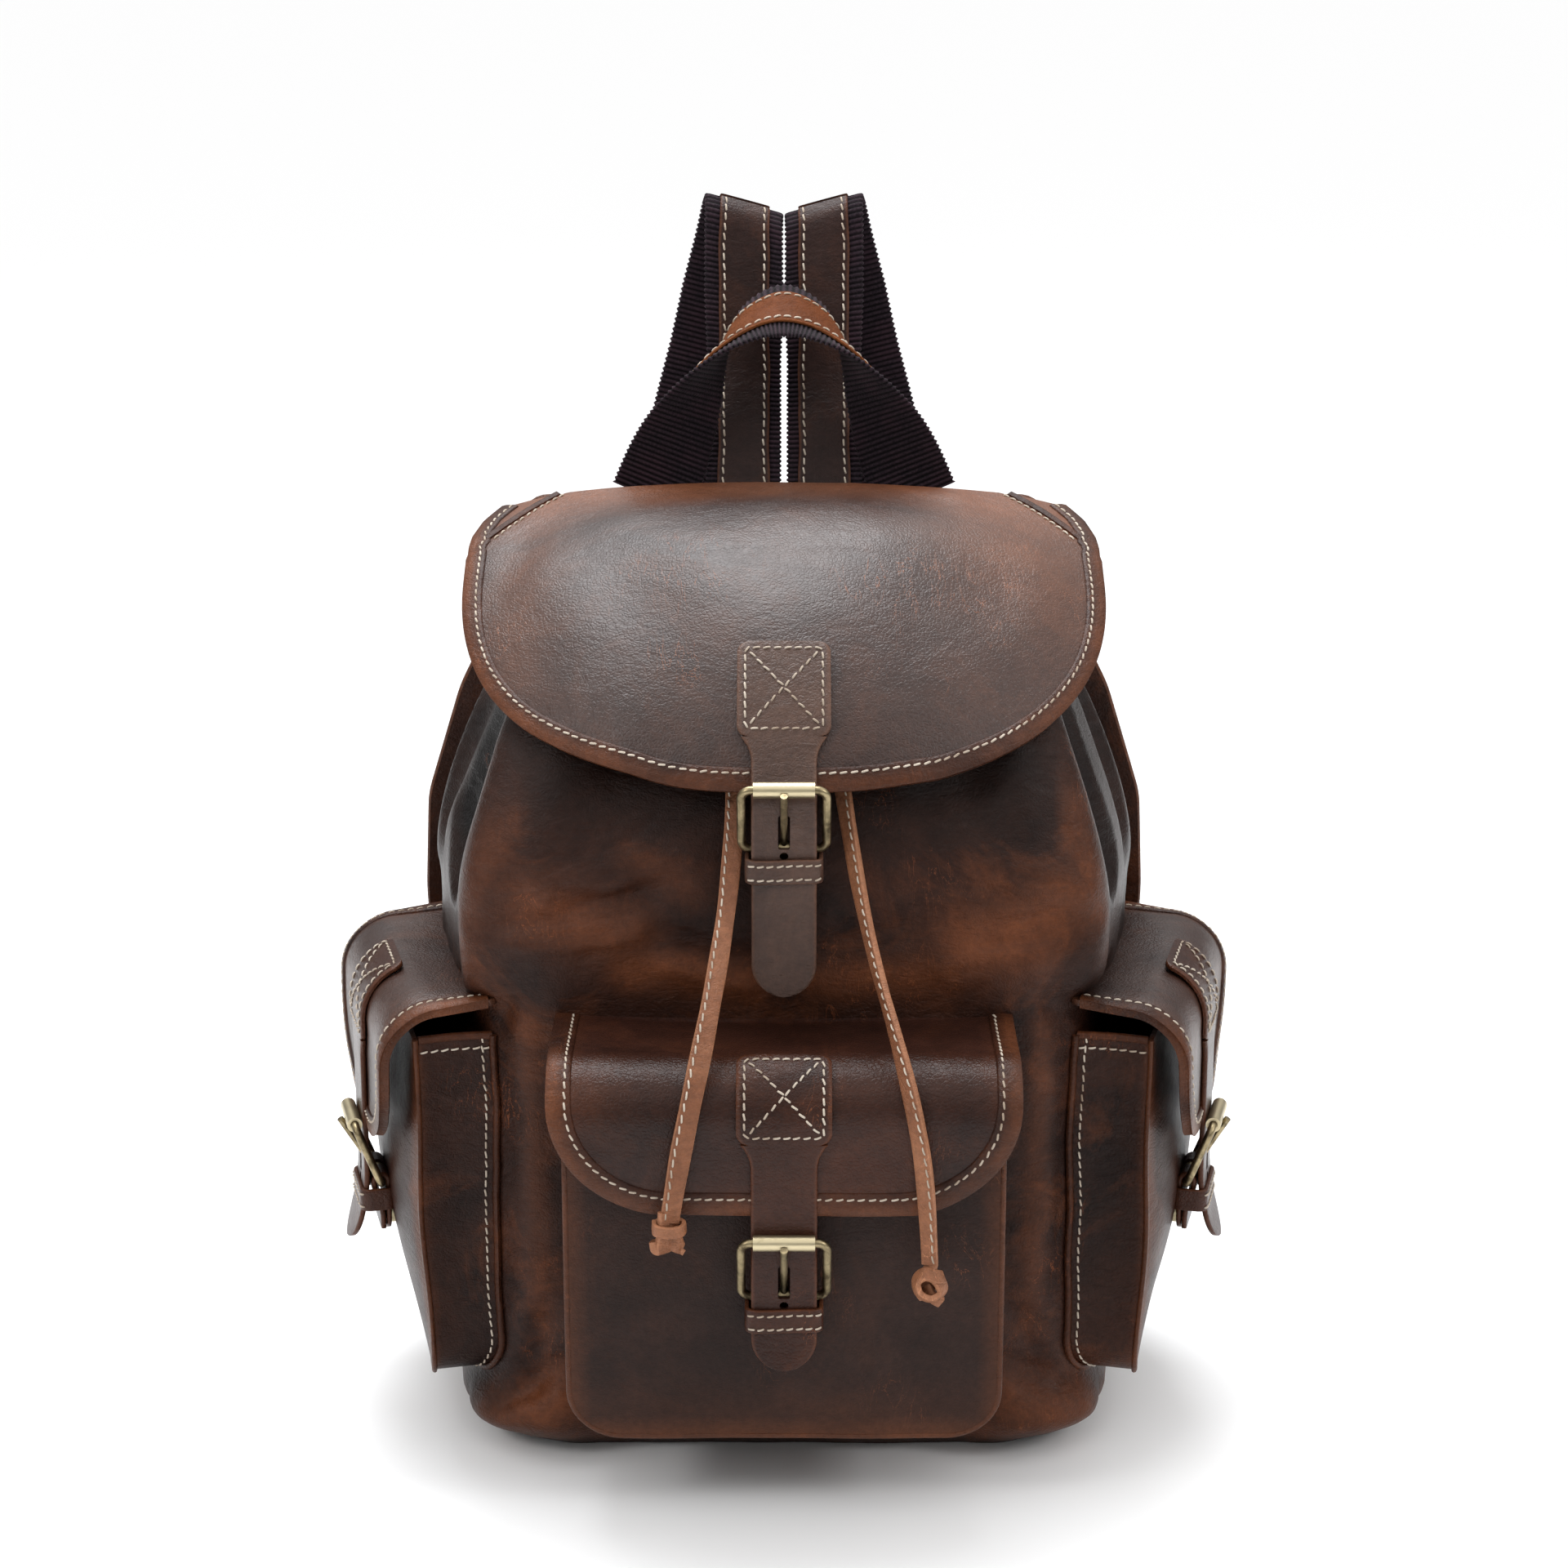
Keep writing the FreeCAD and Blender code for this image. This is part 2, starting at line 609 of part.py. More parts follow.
def main_strap():
    """The lid's strap in the fastening's frame: round the lid's arc, straight off it, then hanging."""
    radius, half = size("lid_ridge_radius"), size("strap_thick") / 2
    centre = Vector(0, size("lid_ridge_y"), size("lid_top") - radius) - MAIN_PLACE.Base
    tail_end = -size("main_tail")

    def on_arc(r, degrees):
        angle = math.radians(degrees)
        return centre + Vector(0, -r * math.sin(angle), r * math.cos(angle))

    def round_the_lid(first, last, width):
        far, near, middle = radius + 2 * half + 0.1, radius + 0.1, (first + last) / 2
        outside = Part.Arc(on_arc(far, first), on_arc(far, middle), on_arc(far, last))
        inside = Part.Arc(on_arc(near, last), on_arc(near, middle), on_arc(near, first))
        ends = [Part.makeLine(on_arc(far, last), on_arc(near, last))]
        ends.append(Part.makeLine(on_arc(near, first), on_arc(far, first)))
        face = Part.Face(Part.Wire(Part.__sortEdges__([outside.toShape(), inside.toShape()] + ends)))
        face.translate(Vector(-width / 2, 0, 0))
        return face.extrude(Vector(width, 0, 0))

    turn = math.radians(STRAP_TURN)
    off = Vector(0, -math.cos(turn), -math.sin(turn))
    edge_points = []
    for y, r in ((-half, radius + 2 * half + 0.1), (half, radius + 0.1)):
        leave = on_arc(r, STRAP_TURN)
        meet = leave + off * ((leave.y - y) / -off.y)
        edge_points.append((leave, meet, Vector(0, y, tail_end)))
    front, rear = edge_points
    width = size("strap_width")
    points = [Vector(-width / 2, p.y, p.z) for p in (*front, *reversed(rear))]
    tail = Part.Face(Part.makePolygon(points + points[:1])).extrude(Vector(width, 0, 0))
    low = [e for e in tail.Edges if along_y(e) and e.CenterOfMass.z < tail_end + 1]
    tail = tail.makeFillet(11.5, low)
    patch = round_the_lid(*PATCH_TURN, size("patch_width"))
    return tail.fuse([round_the_lid(PATCH_TURN[0], STRAP_TURN, width), patch]).removeSplitter()


sockets = [buckle_pieces("lid", MAIN_PLACE, main_strap(), size("main_tail"))]

POCKETS = [
    ("front_pocket", "front", FRONT_PLACE),
    ("left_pocket", "side", side_place(-1)),
    ("right_pocket", "side", side_place(1)),
]
for name, kind, place in POCKETS:
    top, face_y = pocket(name, kind, place)
    roller_z = size(kind + "_height") - ROLLER_DROP
    strap_y = -(size(kind + "_depth") + STRAP_PLANE)
    here = place.multiply(Placement(Vector(0, strap_y, roller_z), Rotation()))
    strap = pocket_strap(top, face_y, roller_z)
    sockets.append(buckle_pieces(name, here, strap, size("pocket_tail")))
sub_part(feature("snap_sockets", Part.makeCompound(sockets)), "snap_sockets")

# ---------------------------------------------------------------- bands: webbing with a leather facing


def band(stations, width, low, high):
    """A flat band lofted through stations of centre, width direction and outward normal.

    It lies from low to high along the normal.
    """
    wires = []
    for centre, across, out in stations:
        side = across * (width / 2)
        points = [
            centre - side + out * low, centre + side + out * low,
            centre + side + out * high, centre - side + out * high,
        ]
        wires.append(Part.makePolygon(points + points[:1]))
    return Part.makeLoft(wires, True, True)


def strap_stations(points, side):
    """Stations along a shoulder strap, from points of (x, y, z, lean, pitch).

    lean tips the band outwards. pitch turns its leather face from forwards (0) over the top (90) to
    backwards (180).
    """
    stations = []
    for x, y, z, lean, pitch in points:
        tip, turn = math.radians(lean), math.radians(pitch)
        across = Vector(math.cos(tip), 0, side * math.sin(tip))
        level = Vector(0, -1, 0)
        up = across.cross(level) * -1
        if up.z < 0:
            up = up * -1
        out = level * math.cos(turn) + up * math.sin(turn)
        stations.append((Vector(side * x, y, z), across, out))
    return stations


RISER_POINTS = [
    (17.2, 74.0, 304, 0, 0), (17.2, 74.0, 362, 0, 0), (17.2, 87.5, 388, 2, 24),
    (17.2, 105, 418, 5, 24), (17.2, 113, 448, 9, 17), (17.2, 117.5, 471, 13, 16),
    (17.2, 120.5, 483, 15, 45), (17.2, 125.4, 488, 15, 90),
]
LOOP_POINTS = [
    (17.3, 126, 488, 15, 90), (18.6, 132, 484, 15, 125), (21.5, 135.5, 472, 15, 160),
    (28, 135, 448, 15, 176), (40, 129, 404, 14, 174), (54, 121, 348, 13, 173),
    (70, 113, 280, 13, 173), (85, 105, 215, 13, 173), (107.7, 93.1, 118, 13, 173),
]
LOWER_POINTS = [
    (107.9, 93, 117, 13, 173), (113.5, 90, 93, 13, 173), (118, 85.5, 74, 13, 166), (121, 80, 58, 13, 160),
]
FACING_STATIONS = 8  # the leather facing runs over this many of the loop's stations
half_web = size("webbing_thick") / 2
facing_low = half_web + SEAM
facing_high = facing_low + size("facing_thick")
riser_webbing, riser_facing, lower_webbing = [], [], []
for side, word in ((-1, "left"), (1, "right")):
    riser = strap_stations(RISER_POINTS, side)
    riser_webbing.append(band(riser, size("webbing_width"), -half_web, half_web))
    riser_facing.append(band(riser, size("facing_width"), facing_low, facing_high))
    loop = strap_stations(LOOP_POINTS, side)
    lower = strap_stations(LOWER_POINTS, side)
    lower_webbing.append(band(lower, size("webbing_width"), -half_web, half_web))
    webbing = band(loop, size("webbing_width"), -half_web, half_web)
    sub_part(feature(word + "_strap_webbing", webbing), word + "_strap_webbing")
    facing = band(loop[:FACING_STATIONS], size("facing_width"), facing_low, facing_high)
    sub_part(feature(word + "_strap_facing", facing), word + "_strap_facing")
sub_part(feature("riser_webbing", Part.makeCompound(riser_webbing)), "riser_webbing")
sub_part(feature("riser_facing", Part.makeCompound(riser_facing)), "riser_facing")
sub_part(feature("lower_webbing", Part.makeCompound(lower_webbing)), "lower_webbing")


def handle_stations():
    """Stations along the handle's arch. Each has its slope, and how far its outer face tips back."""
    half_arch = [
        (56, 75, 370, 66, 88), (50.8, 75.4, 383, 66, 78), (44, 76, 399, 65, 60), (36, 77, 415, 63, 36),
        (26, 78.5, 431.5, 54, 8), (14, 79.5, 444, 34, -16), (0, 80, 449, 0, -26),
    ]
    left = [(-x, y, z, rise, tip) for x, y, z, rise, tip in half_arch]
    right = [(x, y, z, -rise, tip) for x, y, z, rise, tip in reversed(half_arch[:-1])]
    stations = []
    for x, y, z, rise, tip in left + right:
        slope, roll = math.radians(rise), math.radians(tip)
        along = Vector(math.cos(slope), 0, math.sin(slope))
        up = Vector(-math.sin(slope), 0, math.cos(slope))
        out = up * math.cos(roll) + Vector(0, 1, 0) * math.sin(roll)
        stations.append((Vector(x, y, z), along.cross(out), out))
    return stations


arch = handle_stations()
handle_web = band(arch, size("handle_width"), -half_web, half_web)
sub_part(feature("handle_webbing", handle_web), "handle_webbing")
handle_strip = band(arch, size("facing_width"), facing_low, facing_high)
sub_part(feature("handle_facing", handle_strip), "handle_facing")

# ---------------------------------------------------------------- sliders, lower anchors


def lower_run(side):
    """The straight lower run of a shoulder strap: its direction, width, outward normal and low end."""
    x0, y0, z0 = LOOP_POINTS[FACING_STATIONS - 1][:3]
    x1, y1, z1 = LOWER_POINTS[1][:3]
    down = Vector(side * (x1 - x0), y1 - y0, z1 - z0).normalize()
    across = strap_stations([LOWER_POINTS[1]], side)[0][1]
    out = across.cross(down) * -1
    if out.y < 0:
        out = out * -1
    return down, across, out, Vector(side * x1, y1, z1)


RING_BAR = 3.5  # width of a ring's bar
rings, tabs = [], []
for side, word in ((-1, "left"), (1, "right")):
    down, across, out, low_end = lower_run(side)
    turn = Rotation(across, out, down * -1, "XZY")
    outside = bound(
        "Part::Box", word + "_slider_outside", Vector(-size("slider_wide") / 2, -size("slider_deep") / 2, 0),
        Length="sizes.slider_wide", Width="sizes.slider_deep", Height="sizes.slider_tall",
    )
    inside = bound(
        "Part::Box", word + "_slider_inside",
        Vector(-size("webbing_width") / 2 - 1, -size("webbing_thick") / 2 - 0.8, -1),
        Length="sizes.webbing_width + 2", Width="sizes.webbing_thick + 1.6", Height="sizes.slider_tall + 2",
    )
    slider = boolean("Part::Cut", word + "_slider", outside, inside)
    slider_at = low_end - down * 1.5
    sub_part(slider, word + "_strap_slider", Placement(slider_at, turn))

    ring_middle = Vector(side * 124.5, 73.8, 46)
    wide, tall, thick = size("ring_wide"), size("ring_tall"), size("ring_thick")
    ring = Part.makeBox(wide, thick, tall, Vector(-wide / 2, -thick / 2, -tall / 2))
    room_wide, room_tall = wide - 2 * RING_BAR, tall - 2 * RING_BAR
    window_at = Vector(-room_wide / 2, -thick / 2 - 1, -room_tall / 2)
    ring = ring.cut(Part.makeBox(room_wide, thick + 2, room_tall, window_at))
    ring.Placement = Placement(ring_middle, Rotation(Vector(0, 1, 0), -side * 13))
    rings.append(ring)

    middle = side * 122
    points = [(middle - 17, 37), (middle + 17, 37), (middle + 10, 10), (middle - 14, 10)]
    points = [Vector(x, 0, z) for x, z in points]
    leather = Part.Face(Part.makePolygon(points + points[:1])).extrude(Vector(0, 3, 0))
    leather.translate(Vector(0, size("back_y") + 0.05, 0))
    tabs.append(leather)
sub_part(feature("anchor_rings", Part.makeCompound(rings)), "anchor_rings")
sub_part(feature("anchor_tabs", Part.makeCompound(tabs)), "anchor_tabs")

# ---------------------------------------------------------------- drawstring

# Routes of the two hanging tails, from the eyelet under the lid to the knot.
LEFT_CORD = [
    (-18.5, -70.5, 301), (-18.6, -79, 286), (-19.4, -88, 268), (-21.5, -101, 247), (-25, -119, 227),
    (-29.5, -139, 207), (-35, -151.5, 183), (-40, -154.5, 158), (-43, -154.5, 138),
]
RIGHT_CORD = [
    (20.5, -70.5, 301), (22.5, -79, 286), (25.5, -88, 268), (29.5, -101, 247), (35, -119, 226),
    (42, -139, 206), (49, -152, 180), (53.5, -154.5, 152), (55, -154.5, 121),
]


def cord_tube(route, radius):
    """A round tube along straight runs joined by tangent arcs, each as large as its two runs allow."""
    points = [Vector(*p) for p in route]
    edges, last, tightest = [], points[0], math.inf
    for before, here, after in zip(points, points[1:], points[2:]):
        to_last, to_next = before - here, after - here
        shorter = min(to_last.Length, to_next.Length)
        to_last.normalize()
        to_next.normalize()
        half = to_last.getAngle(to_next) / 2
        back = 0.45 * shorter
        bend = back * math.tan(half)
        tightest = min(tightest, bend)
        start, end = here + to_last * back, here + to_next * back
        middle = here + to_last.add(to_next).normalize() * (bend / math.sin(half) - bend)
        edges.append(Part.makeLine(last, start))
        edges.append(Part.Arc(start, middle, end).toShape())
        last = end
    edges.append(Part.makeLine(last, points[-1]))
    path = Part.Wire(edges)
    start_way = (points[1] - points[0]).normalize()
    ring = Part.Wire(Part.makeCircle(radius, points[0], start_way))
    tube = path.makePipeShell([ring], True, False)
    fullness = tube.Volume / (math.pi * radius**2 * path.Length)
    print(f"cord {path.Length:.1f} mm, tightest radius {tightest:.1f}, volume {fullness:.4f} of expected")
    return tube


def flat_ring(centre, normal):
    """A washer-shaped eyelet on the bag's face."""
    disc = Part.makeCylinder(size("eyelet_r"), size("eyelet_deep"), centre, normal)
    return disc.cut(Part.makeCylinder(size("eyelet_bore"), 20, centre - normal * 10, normal))


eyelets, knots = [], []
# the front face between the 290 and 340 sections leans back by this much
face_out = Vector(0, -50, 27).normalize()
for word, route in (("left", LEFT_CORD), ("right", RIGHT_CORD)):
    sub_part(feature(word + "_cord", cord_tube(route, size("cord_r"))), word + "_cord")
    start = Vector(*route[0])
    on_face = Vector(start.x, -70 + (300 - 290) * 27 / 50, 300) + face_out * 0.15
    eyelets.append(flat_ring(on_face, face_out))
    end = Vector(*route[-1])
    ball = Part.makeSphere(size("knot_r"), end - Vector(0, 0, size("knot_r") + 0.02))
    flat_front = Part.makeBox(20, 8.4, 20, Vector(end.x - 10, end.y - 4.2, end.z - 17))
    knots.append(ball.common(flat_front))
sub_part(feature("eyelets", Part.makeCompound(eyelets)), "eyelets")
sub_part(feature("cord_knots", Part.makeCompound(knots)), "cord_knots")

# ---------------------------------------------------------------- checks and export

doc.recompute()
for obj in doc.Objects:
    if "Invalid" in obj.State or "Error" in obj.State:
        raise RuntimeError(f"{obj.Name} failed: {obj.State}")
os.makedirs("parts", exist_ok=True)
for obj in subparts:
    shape = obj.Shape
    if shape.isNull() or not shape.isValid() or not shape.Solids:
        raise RuntimeError(f"{obj.Label} has no valid solid")
    shape.exportStep(os.path.join("parts", obj.Label + ".step"))
print(len(subparts), "sub-parts")
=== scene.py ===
import math

import bpy
import numpy as np
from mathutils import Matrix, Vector, noise
from mathutils.bvhtree import BVHTree


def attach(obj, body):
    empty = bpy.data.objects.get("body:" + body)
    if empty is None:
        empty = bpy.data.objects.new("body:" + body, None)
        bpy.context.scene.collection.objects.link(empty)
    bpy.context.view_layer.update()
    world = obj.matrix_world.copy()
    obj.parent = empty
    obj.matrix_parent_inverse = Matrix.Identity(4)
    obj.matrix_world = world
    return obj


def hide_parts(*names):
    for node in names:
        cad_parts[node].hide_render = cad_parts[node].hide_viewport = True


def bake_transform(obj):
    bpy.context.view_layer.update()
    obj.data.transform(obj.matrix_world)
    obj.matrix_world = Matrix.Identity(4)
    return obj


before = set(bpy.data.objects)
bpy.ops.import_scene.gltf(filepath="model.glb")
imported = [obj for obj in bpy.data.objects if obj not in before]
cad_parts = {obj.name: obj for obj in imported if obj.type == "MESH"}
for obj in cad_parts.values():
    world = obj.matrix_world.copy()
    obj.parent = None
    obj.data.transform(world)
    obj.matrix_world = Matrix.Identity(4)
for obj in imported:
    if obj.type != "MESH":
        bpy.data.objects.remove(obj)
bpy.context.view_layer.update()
MM = 0.001
rng = np.random.default_rng(11)

# ---------------------------------------------------------------- camera

camera = bpy.data.objects.new("camera", bpy.data.cameras.new("camera"))
bpy.context.scene.collection.objects.link(camera)
camera.location = (0, -1.25, 0.62)
camera.rotation_euler = (Vector((0, 0, 0.265)) - camera.location).to_track_quat("-Z", "Y").to_euler()
camera.data.lens = 72.5
bpy.context.scene.camera = camera

# ---------------------------------------------------------------- materials


class Shader:
    """A material being put together: add() makes a node and links or sets its inputs."""

    def __init__(self, name):
        self.material = bpy.data.materials.new(name)
        self.material.use_nodes = True
        self.tree = self.material.node_tree
        self.surface = self.tree.nodes["Principled BSDF"]

    def add(self, kind, inputs=(), **settings):
        node = self.tree.nodes.new(kind)
        for key, value in settings.items():
            setattr(node, key, value)
        self.feed(node, dict(inputs))
        return node

    def feed(self, node, inputs):
        for key, value in inputs.items():
            socket = node.inputs[key]
            if isinstance(value, bpy.types.NodeSocket):
                self.tree.links.new(value, socket)
            else:
                socket.default_value = value

    def ramp(self, source, stops):
        """A colour ramp of (place, grey or colour) stops."""
        node = self.add("ShaderNodeValToRGB", {"Fac": source})
        elements = node.color_ramp.elements
        while len(elements) < len(stops):
            elements.new(0.5)
        for element, (place, value) in zip(elements, stops):
            element.position = place
            element.color = (*value, 1) if hasattr(value, "__len__") else (value, value, value, 1)
        return node.outputs["Color"]

    def math(self, operation, a, b=0.0, clamp=False):
        return self.add("ShaderNodeMath", {0: a, 1: b}, operation=operation, use_clamp=clamp).outputs[0]

    def mix(self, fac, a, b, blend="MIX"):
        node = self.add("ShaderNodeMix", {}, data_type="RGBA", blend_type=blend)
        self.feed(node, {0: fac, 6: a, 7: b})
        return node.outputs[2]

    def noise(self, vector, scale, detail=3.0, roughness=0.55, distortion=0.0):
        inputs = {"Vector": vector, "Scale": scale, "Detail": detail}
        inputs.update({"Roughness": roughness, "Distortion": distortion})
        return self.add("ShaderNodeTexNoise", inputs).outputs["Fac"]

    def bump(self, height, strength, distance, normal=None):
        inputs = {"Height": height, "Strength": strength, "Distance": distance}
        if normal is not None:
            inputs["Normal"] = normal
        return self.add("ShaderNodeBump", inputs).outputs["Normal"]


def colour(*rgb):
    return (*rgb, 1.0)


def leather(name, dark, light, rust, rough=(0.36, 0.56), rubbed=0.25, grain=1.0, wrinkle=0.5, gloss=0.18):
    """Oiled pull-up leather: cloudy colour, rubbed orange edges, scratches, pores and fine wrinkles.

    The mesh attribute for wear and painted shade is 1 where the leather is rubbed bare and -1 where shade is
    painted into its colour.
    """
    s = Shader(name)
    at = s.add("ShaderNodeTexCoord").outputs["Object"]
    cloud = s.noise(at, 11, 4, 0.6, 0.6)
    patch = s.noise(at, 34, 5, 0.65, 0.8)
    mottle = s.ramp(s.math("ADD", s.math("MULTIPLY", cloud, 0.65), s.math("MULTIPLY", patch, 0.35)),
                    [(0.36, 0), (0.66, 1)])
    base = s.mix(mottle, colour(*dark), colour(*light))
    wear_and_shade = s.add("ShaderNodeAttribute", attribute_name="wear_and_shade").outputs["Fac"]
    wear_cloud = s.ramp(s.noise(at, 19, 6, 0.7, 1.2), [(0.5, 0), (0.72, 1)])
    worn = s.math("ADD", s.math("MULTIPLY", wear_cloud, rubbed),
                  s.math("MULTIPLY", wear_and_shade, s.math("ADD", s.math("MULTIPLY", patch, 0.9), 0.35)), clamp=True)
    base = s.mix(worn, base, colour(*rust))
    # painted shade: negative values of the wear-and-shade attribute darken the colour towards a third of the
    # dark tone
    soil_and_shade = s.math("MULTIPLY", wear_and_shade, -1.0, clamp=True)
    base = s.mix(soil_and_shade, base, colour(*[0.3 * c for c in dark]))
    fleck = s.ramp(s.noise(at, 420, 3, 0.7), [(0.3, 0.72), (0.7, 1.18)])
    base = s.mix(0.75, base, fleck, "MULTIPLY")
    stretched = s.add("ShaderNodeMapping", {"Vector": at, "Rotation": (0.3, 0.5, 0.9), "Scale": (26, 5, 9)})
    line_field = s.noise(stretched.outputs[0], 3.1, 4, 0.6, 2.5)
    thin = s.ramp(line_field, [(0.4905, 0), (0.4975, 1), (0.5045, 0)])
    where = s.ramp(s.noise(at, 16, 2), [(0.57, 0), (0.66, 1)])
    scratch = s.math("MULTIPLY", thin, where)
    base = s.mix(s.math("MULTIPLY", scratch, 0.6), base, colour(*[min(1, 2.1 * c) for c in rust]))
    pores = s.add("ShaderNodeTexVoronoi", {"Vector": at, "Scale": 620, "Randomness": 1.0},
                  feature="DISTANCE_TO_EDGE").outputs["Distance"]
    pore_height = s.ramp(pores, [(0.0, 0), (0.22, 1)])
    creased = s.add("ShaderNodeMapping", {"Vector": at, "Rotation": (0.2, 0.1, 0.35), "Scale": (1, 1, 2.4)})
    wrinkles = s.noise(creased.outputs[0], 95, 6, 0.62, 1.6)
    soft = s.noise(at, 26, 3, 0.5)
    normal = s.bump(soft, 0.5, 0.0022)
    normal = s.bump(wrinkles, wrinkle, 0.0011, normal)
    normal = s.bump(pore_height, 0.32 * grain, 0.00025, normal)
    normal = s.bump(scratch, 0.25, 0.0002, normal)
    low, high = rough
    roughness = s.math("ADD", s.math("MULTIPLY", s.noise(at, 60, 5, 0.6), (high - low) * 1.4),
                       low - 0.2 * (high - low))
    s.feed(s.surface, {"Base Color": base, "Roughness": roughness, "Normal": normal})
    s.feed(s.surface, {"Specular IOR Level": gloss})
    return s.material


def webbing_cloth(name, dark, light, violet):
    """Ribbed cotton webbing: each rib is a bundle of fine threads, with a worn fuzz."""
    s = Shader(name)
    at = s.add("ShaderNodeTexCoord").outputs["Object"]
    threads = s.noise(at, 900, 4, 0.7)
    cloud = s.noise(at, 60, 4, 0.6)
    base = s.mix(s.ramp(threads, [(0.3, 0), (0.75, 1)]), colour(*dark), colour(*light))
    base = s.mix(s.ramp(cloud, [(0.45, 0), (0.7, 0.6)]), base, colour(*violet))
    rib = s.add("ShaderNodeAttribute", attribute_name="wear_and_shade").outputs["Fac"]
    # painted shade: the colour is multiplied down to 0.18 in the grooves between the ribs
    base = s.mix(1.0, base, s.ramp(rib, [(0.15, 0.18), (0.8, 1.0)]), "MULTIPLY")
    weave = s.add("ShaderNodeTexVoronoi", {"Vector": at, "Scale": 1100}).outputs["Distance"]
    normal = s.bump(weave, 0.6, 0.0003)
    normal = s.bump(threads, 0.5, 0.0002, normal)
    s.feed(s.surface, {"Base Color": base, "Roughness": 0.85, "Normal": normal})
    s.feed(s.surface, {"Specular IOR Level": 0.1, "Sheen Weight": 0.06, "Sheen Roughness": 0.45})
    return s.material


def plain_cloth(name, dark, light):
    """Plain-woven cotton: crossed threads in relief, and a slubby colour."""
    s = Shader(name)
    at = s.add("ShaderNodeTexCoord").outputs["Object"]
    across = s.add("ShaderNodeTexWave", {"Vector": at, "Scale": 260, "Distortion": 1.5, "Detail": 2.0},
                   bands_direction="X").outputs["Fac"]
    along = s.add("ShaderNodeTexWave", {"Vector": at, "Scale": 260, "Distortion": 1.5, "Detail": 2.0},
                  bands_direction="Z").outputs["Fac"]
    weave = s.math("MULTIPLY", across, along)
    cloud = s.noise(at, 35, 4, 0.6)
    base = s.mix(s.ramp(cloud, [(0.35, 0), (0.7, 1)]), colour(*dark), colour(*light))
    base = s.mix(0.5, base, s.ramp(weave, [(0.0, 0.6), (1.0, 1.15)]), "MULTIPLY")
    s.feed(s.surface, {"Base Color": base, "Roughness": 0.9, "Normal": s.bump(weave, 0.5, 0.0004)})
    s.feed(s.surface, {"Specular IOR Level": 0.2, "Sheen Weight": 0.2})
    return s.material


def thread(name, pale, soil_and_shade):
    """Waxed linen thread, a little soiled here and there, with a twist in relief."""
    s = Shader(name)
    at = s.add("ShaderNodeTexCoord").outputs["Object"]
    soil = s.ramp(s.noise(at, 42, 4, 0.6), [(0.4, 0), (0.72, 1)])
    base = s.mix(soil, colour(*pale), colour(*soil_and_shade))
    twist = s.noise(at, 1500, 2, 0.5)
    s.feed(s.surface, {"Base Color": base, "Roughness": 0.7, "Normal": s.bump(twist, 0.6, 0.0002)})
    s.feed(s.surface, {"Specular IOR Level": 0.3})
    return s.material


def brass(name, bright, tarnish, rough, darkness):
    """Antique brass: bright where it is handled and brown in the tarnish, with fine draw lines."""
    s = Shader(name)
    at = s.add("ShaderNodeTexCoord").outputs["Object"]
    cloud = s.noise(at, 130, 5, 0.65, 0.4)
    patina = s.ramp(cloud, [(0.62 - darkness, 0), (0.86 - darkness, 1)])
    base = s.mix(patina, colour(*bright), colour(*tarnish))
    lines = s.add("ShaderNodeMapping", {"Vector": at, "Scale": (90, 2400, 2400)})
    drawn = s.noise(lines.outputs[0], 1.0, 3, 0.6)
    roughness = s.math("ADD", s.math("MULTIPLY", cloud, 0.3), rough)
    s.feed(s.surface, {"Base Color": base, "Roughness": roughness, "Normal": s.bump(drawn, 0.25, 0.0001)})
    s.feed(s.surface, {"Metallic": 1.0, "Specular IOR Level": 0.5})
    return s.material


BAG = leather("bag_leather", (0.0075, 0.003, 0.0022), (0.042, 0.0155, 0.0092), (0.16, 0.048, 0.017),
              (0.32, 0.48), rubbed=0.42, wrinkle=0.6, gloss=0.15)
LID = leather("lid_leather", (0.017, 0.0066, 0.0046), (0.044, 0.0185, 0.012), (0.17, 0.058, 0.023),
              (0.32, 0.44), rubbed=0.16, wrinkle=0.3, gloss=0.42)
PANEL = leather("panel_leather", (0.011, 0.005, 0.0038), (0.03, 0.0135, 0.0098), (0.1, 0.033, 0.0135),
                (0.36, 0.5), rubbed=0.15, wrinkle=0.32, gloss=0.15)
FLAP = leather("flap_leather", (0.015, 0.0055, 0.0038), (0.04, 0.014, 0.0086), (0.13, 0.041, 0.016),
               (0.26, 0.37), rubbed=0.2, wrinkle=0.3, gloss=0.2)
BINDING = leather("binding_leather", (0.014, 0.0048, 0.003), (0.048, 0.0155, 0.0075), (0.17, 0.054, 0.0195),
                  (0.3, 0.45), rubbed=0.32, wrinkle=0.6, gloss=0.2)
STRAP = leather("strap_leather", (0.03, 0.0145, 0.0105), (0.085, 0.045, 0.031), (0.15, 0.064, 0.034),
                (0.34, 0.48), rubbed=0.14, wrinkle=0.5, gloss=0.35)
FACING = leather("facing_leather", (0.013, 0.0058, 0.0048), (0.032, 0.015, 0.012), (0.17, 0.056, 0.022),
                 (0.36, 0.5), rubbed=0.16, wrinkle=0.4, gloss=0.15)
CORD = leather("cord_leather", (0.13, 0.044, 0.019), (0.27, 0.108, 0.05), (0.38, 0.17, 0.088), (0.36, 0.5),
               rubbed=0.4, wrinkle=0.9, grain=1.4, gloss=0.25)
WEB = webbing_cloth("ribbed_webbing", (0.009, 0.0062, 0.0095), (0.042, 0.027, 0.034), (0.05, 0.025, 0.034))
LINING = plain_cloth("lining_cloth", (0.055, 0.043, 0.033), (0.11, 0.09, 0.07))
THREAD = thread("linen_thread", (0.52, 0.45, 0.37), (0.27, 0.2, 0.145))
BRIGHT = brass("worn_brass", (0.56, 0.48, 0.31), (0.26, 0.19, 0.09), 0.22, 0.0)
DULL = brass("antique_brass", (0.34, 0.275, 0.16), (0.075, 0.056, 0.032), 0.22, 0.2)

# ---------------------------------------------------------------- mesh making


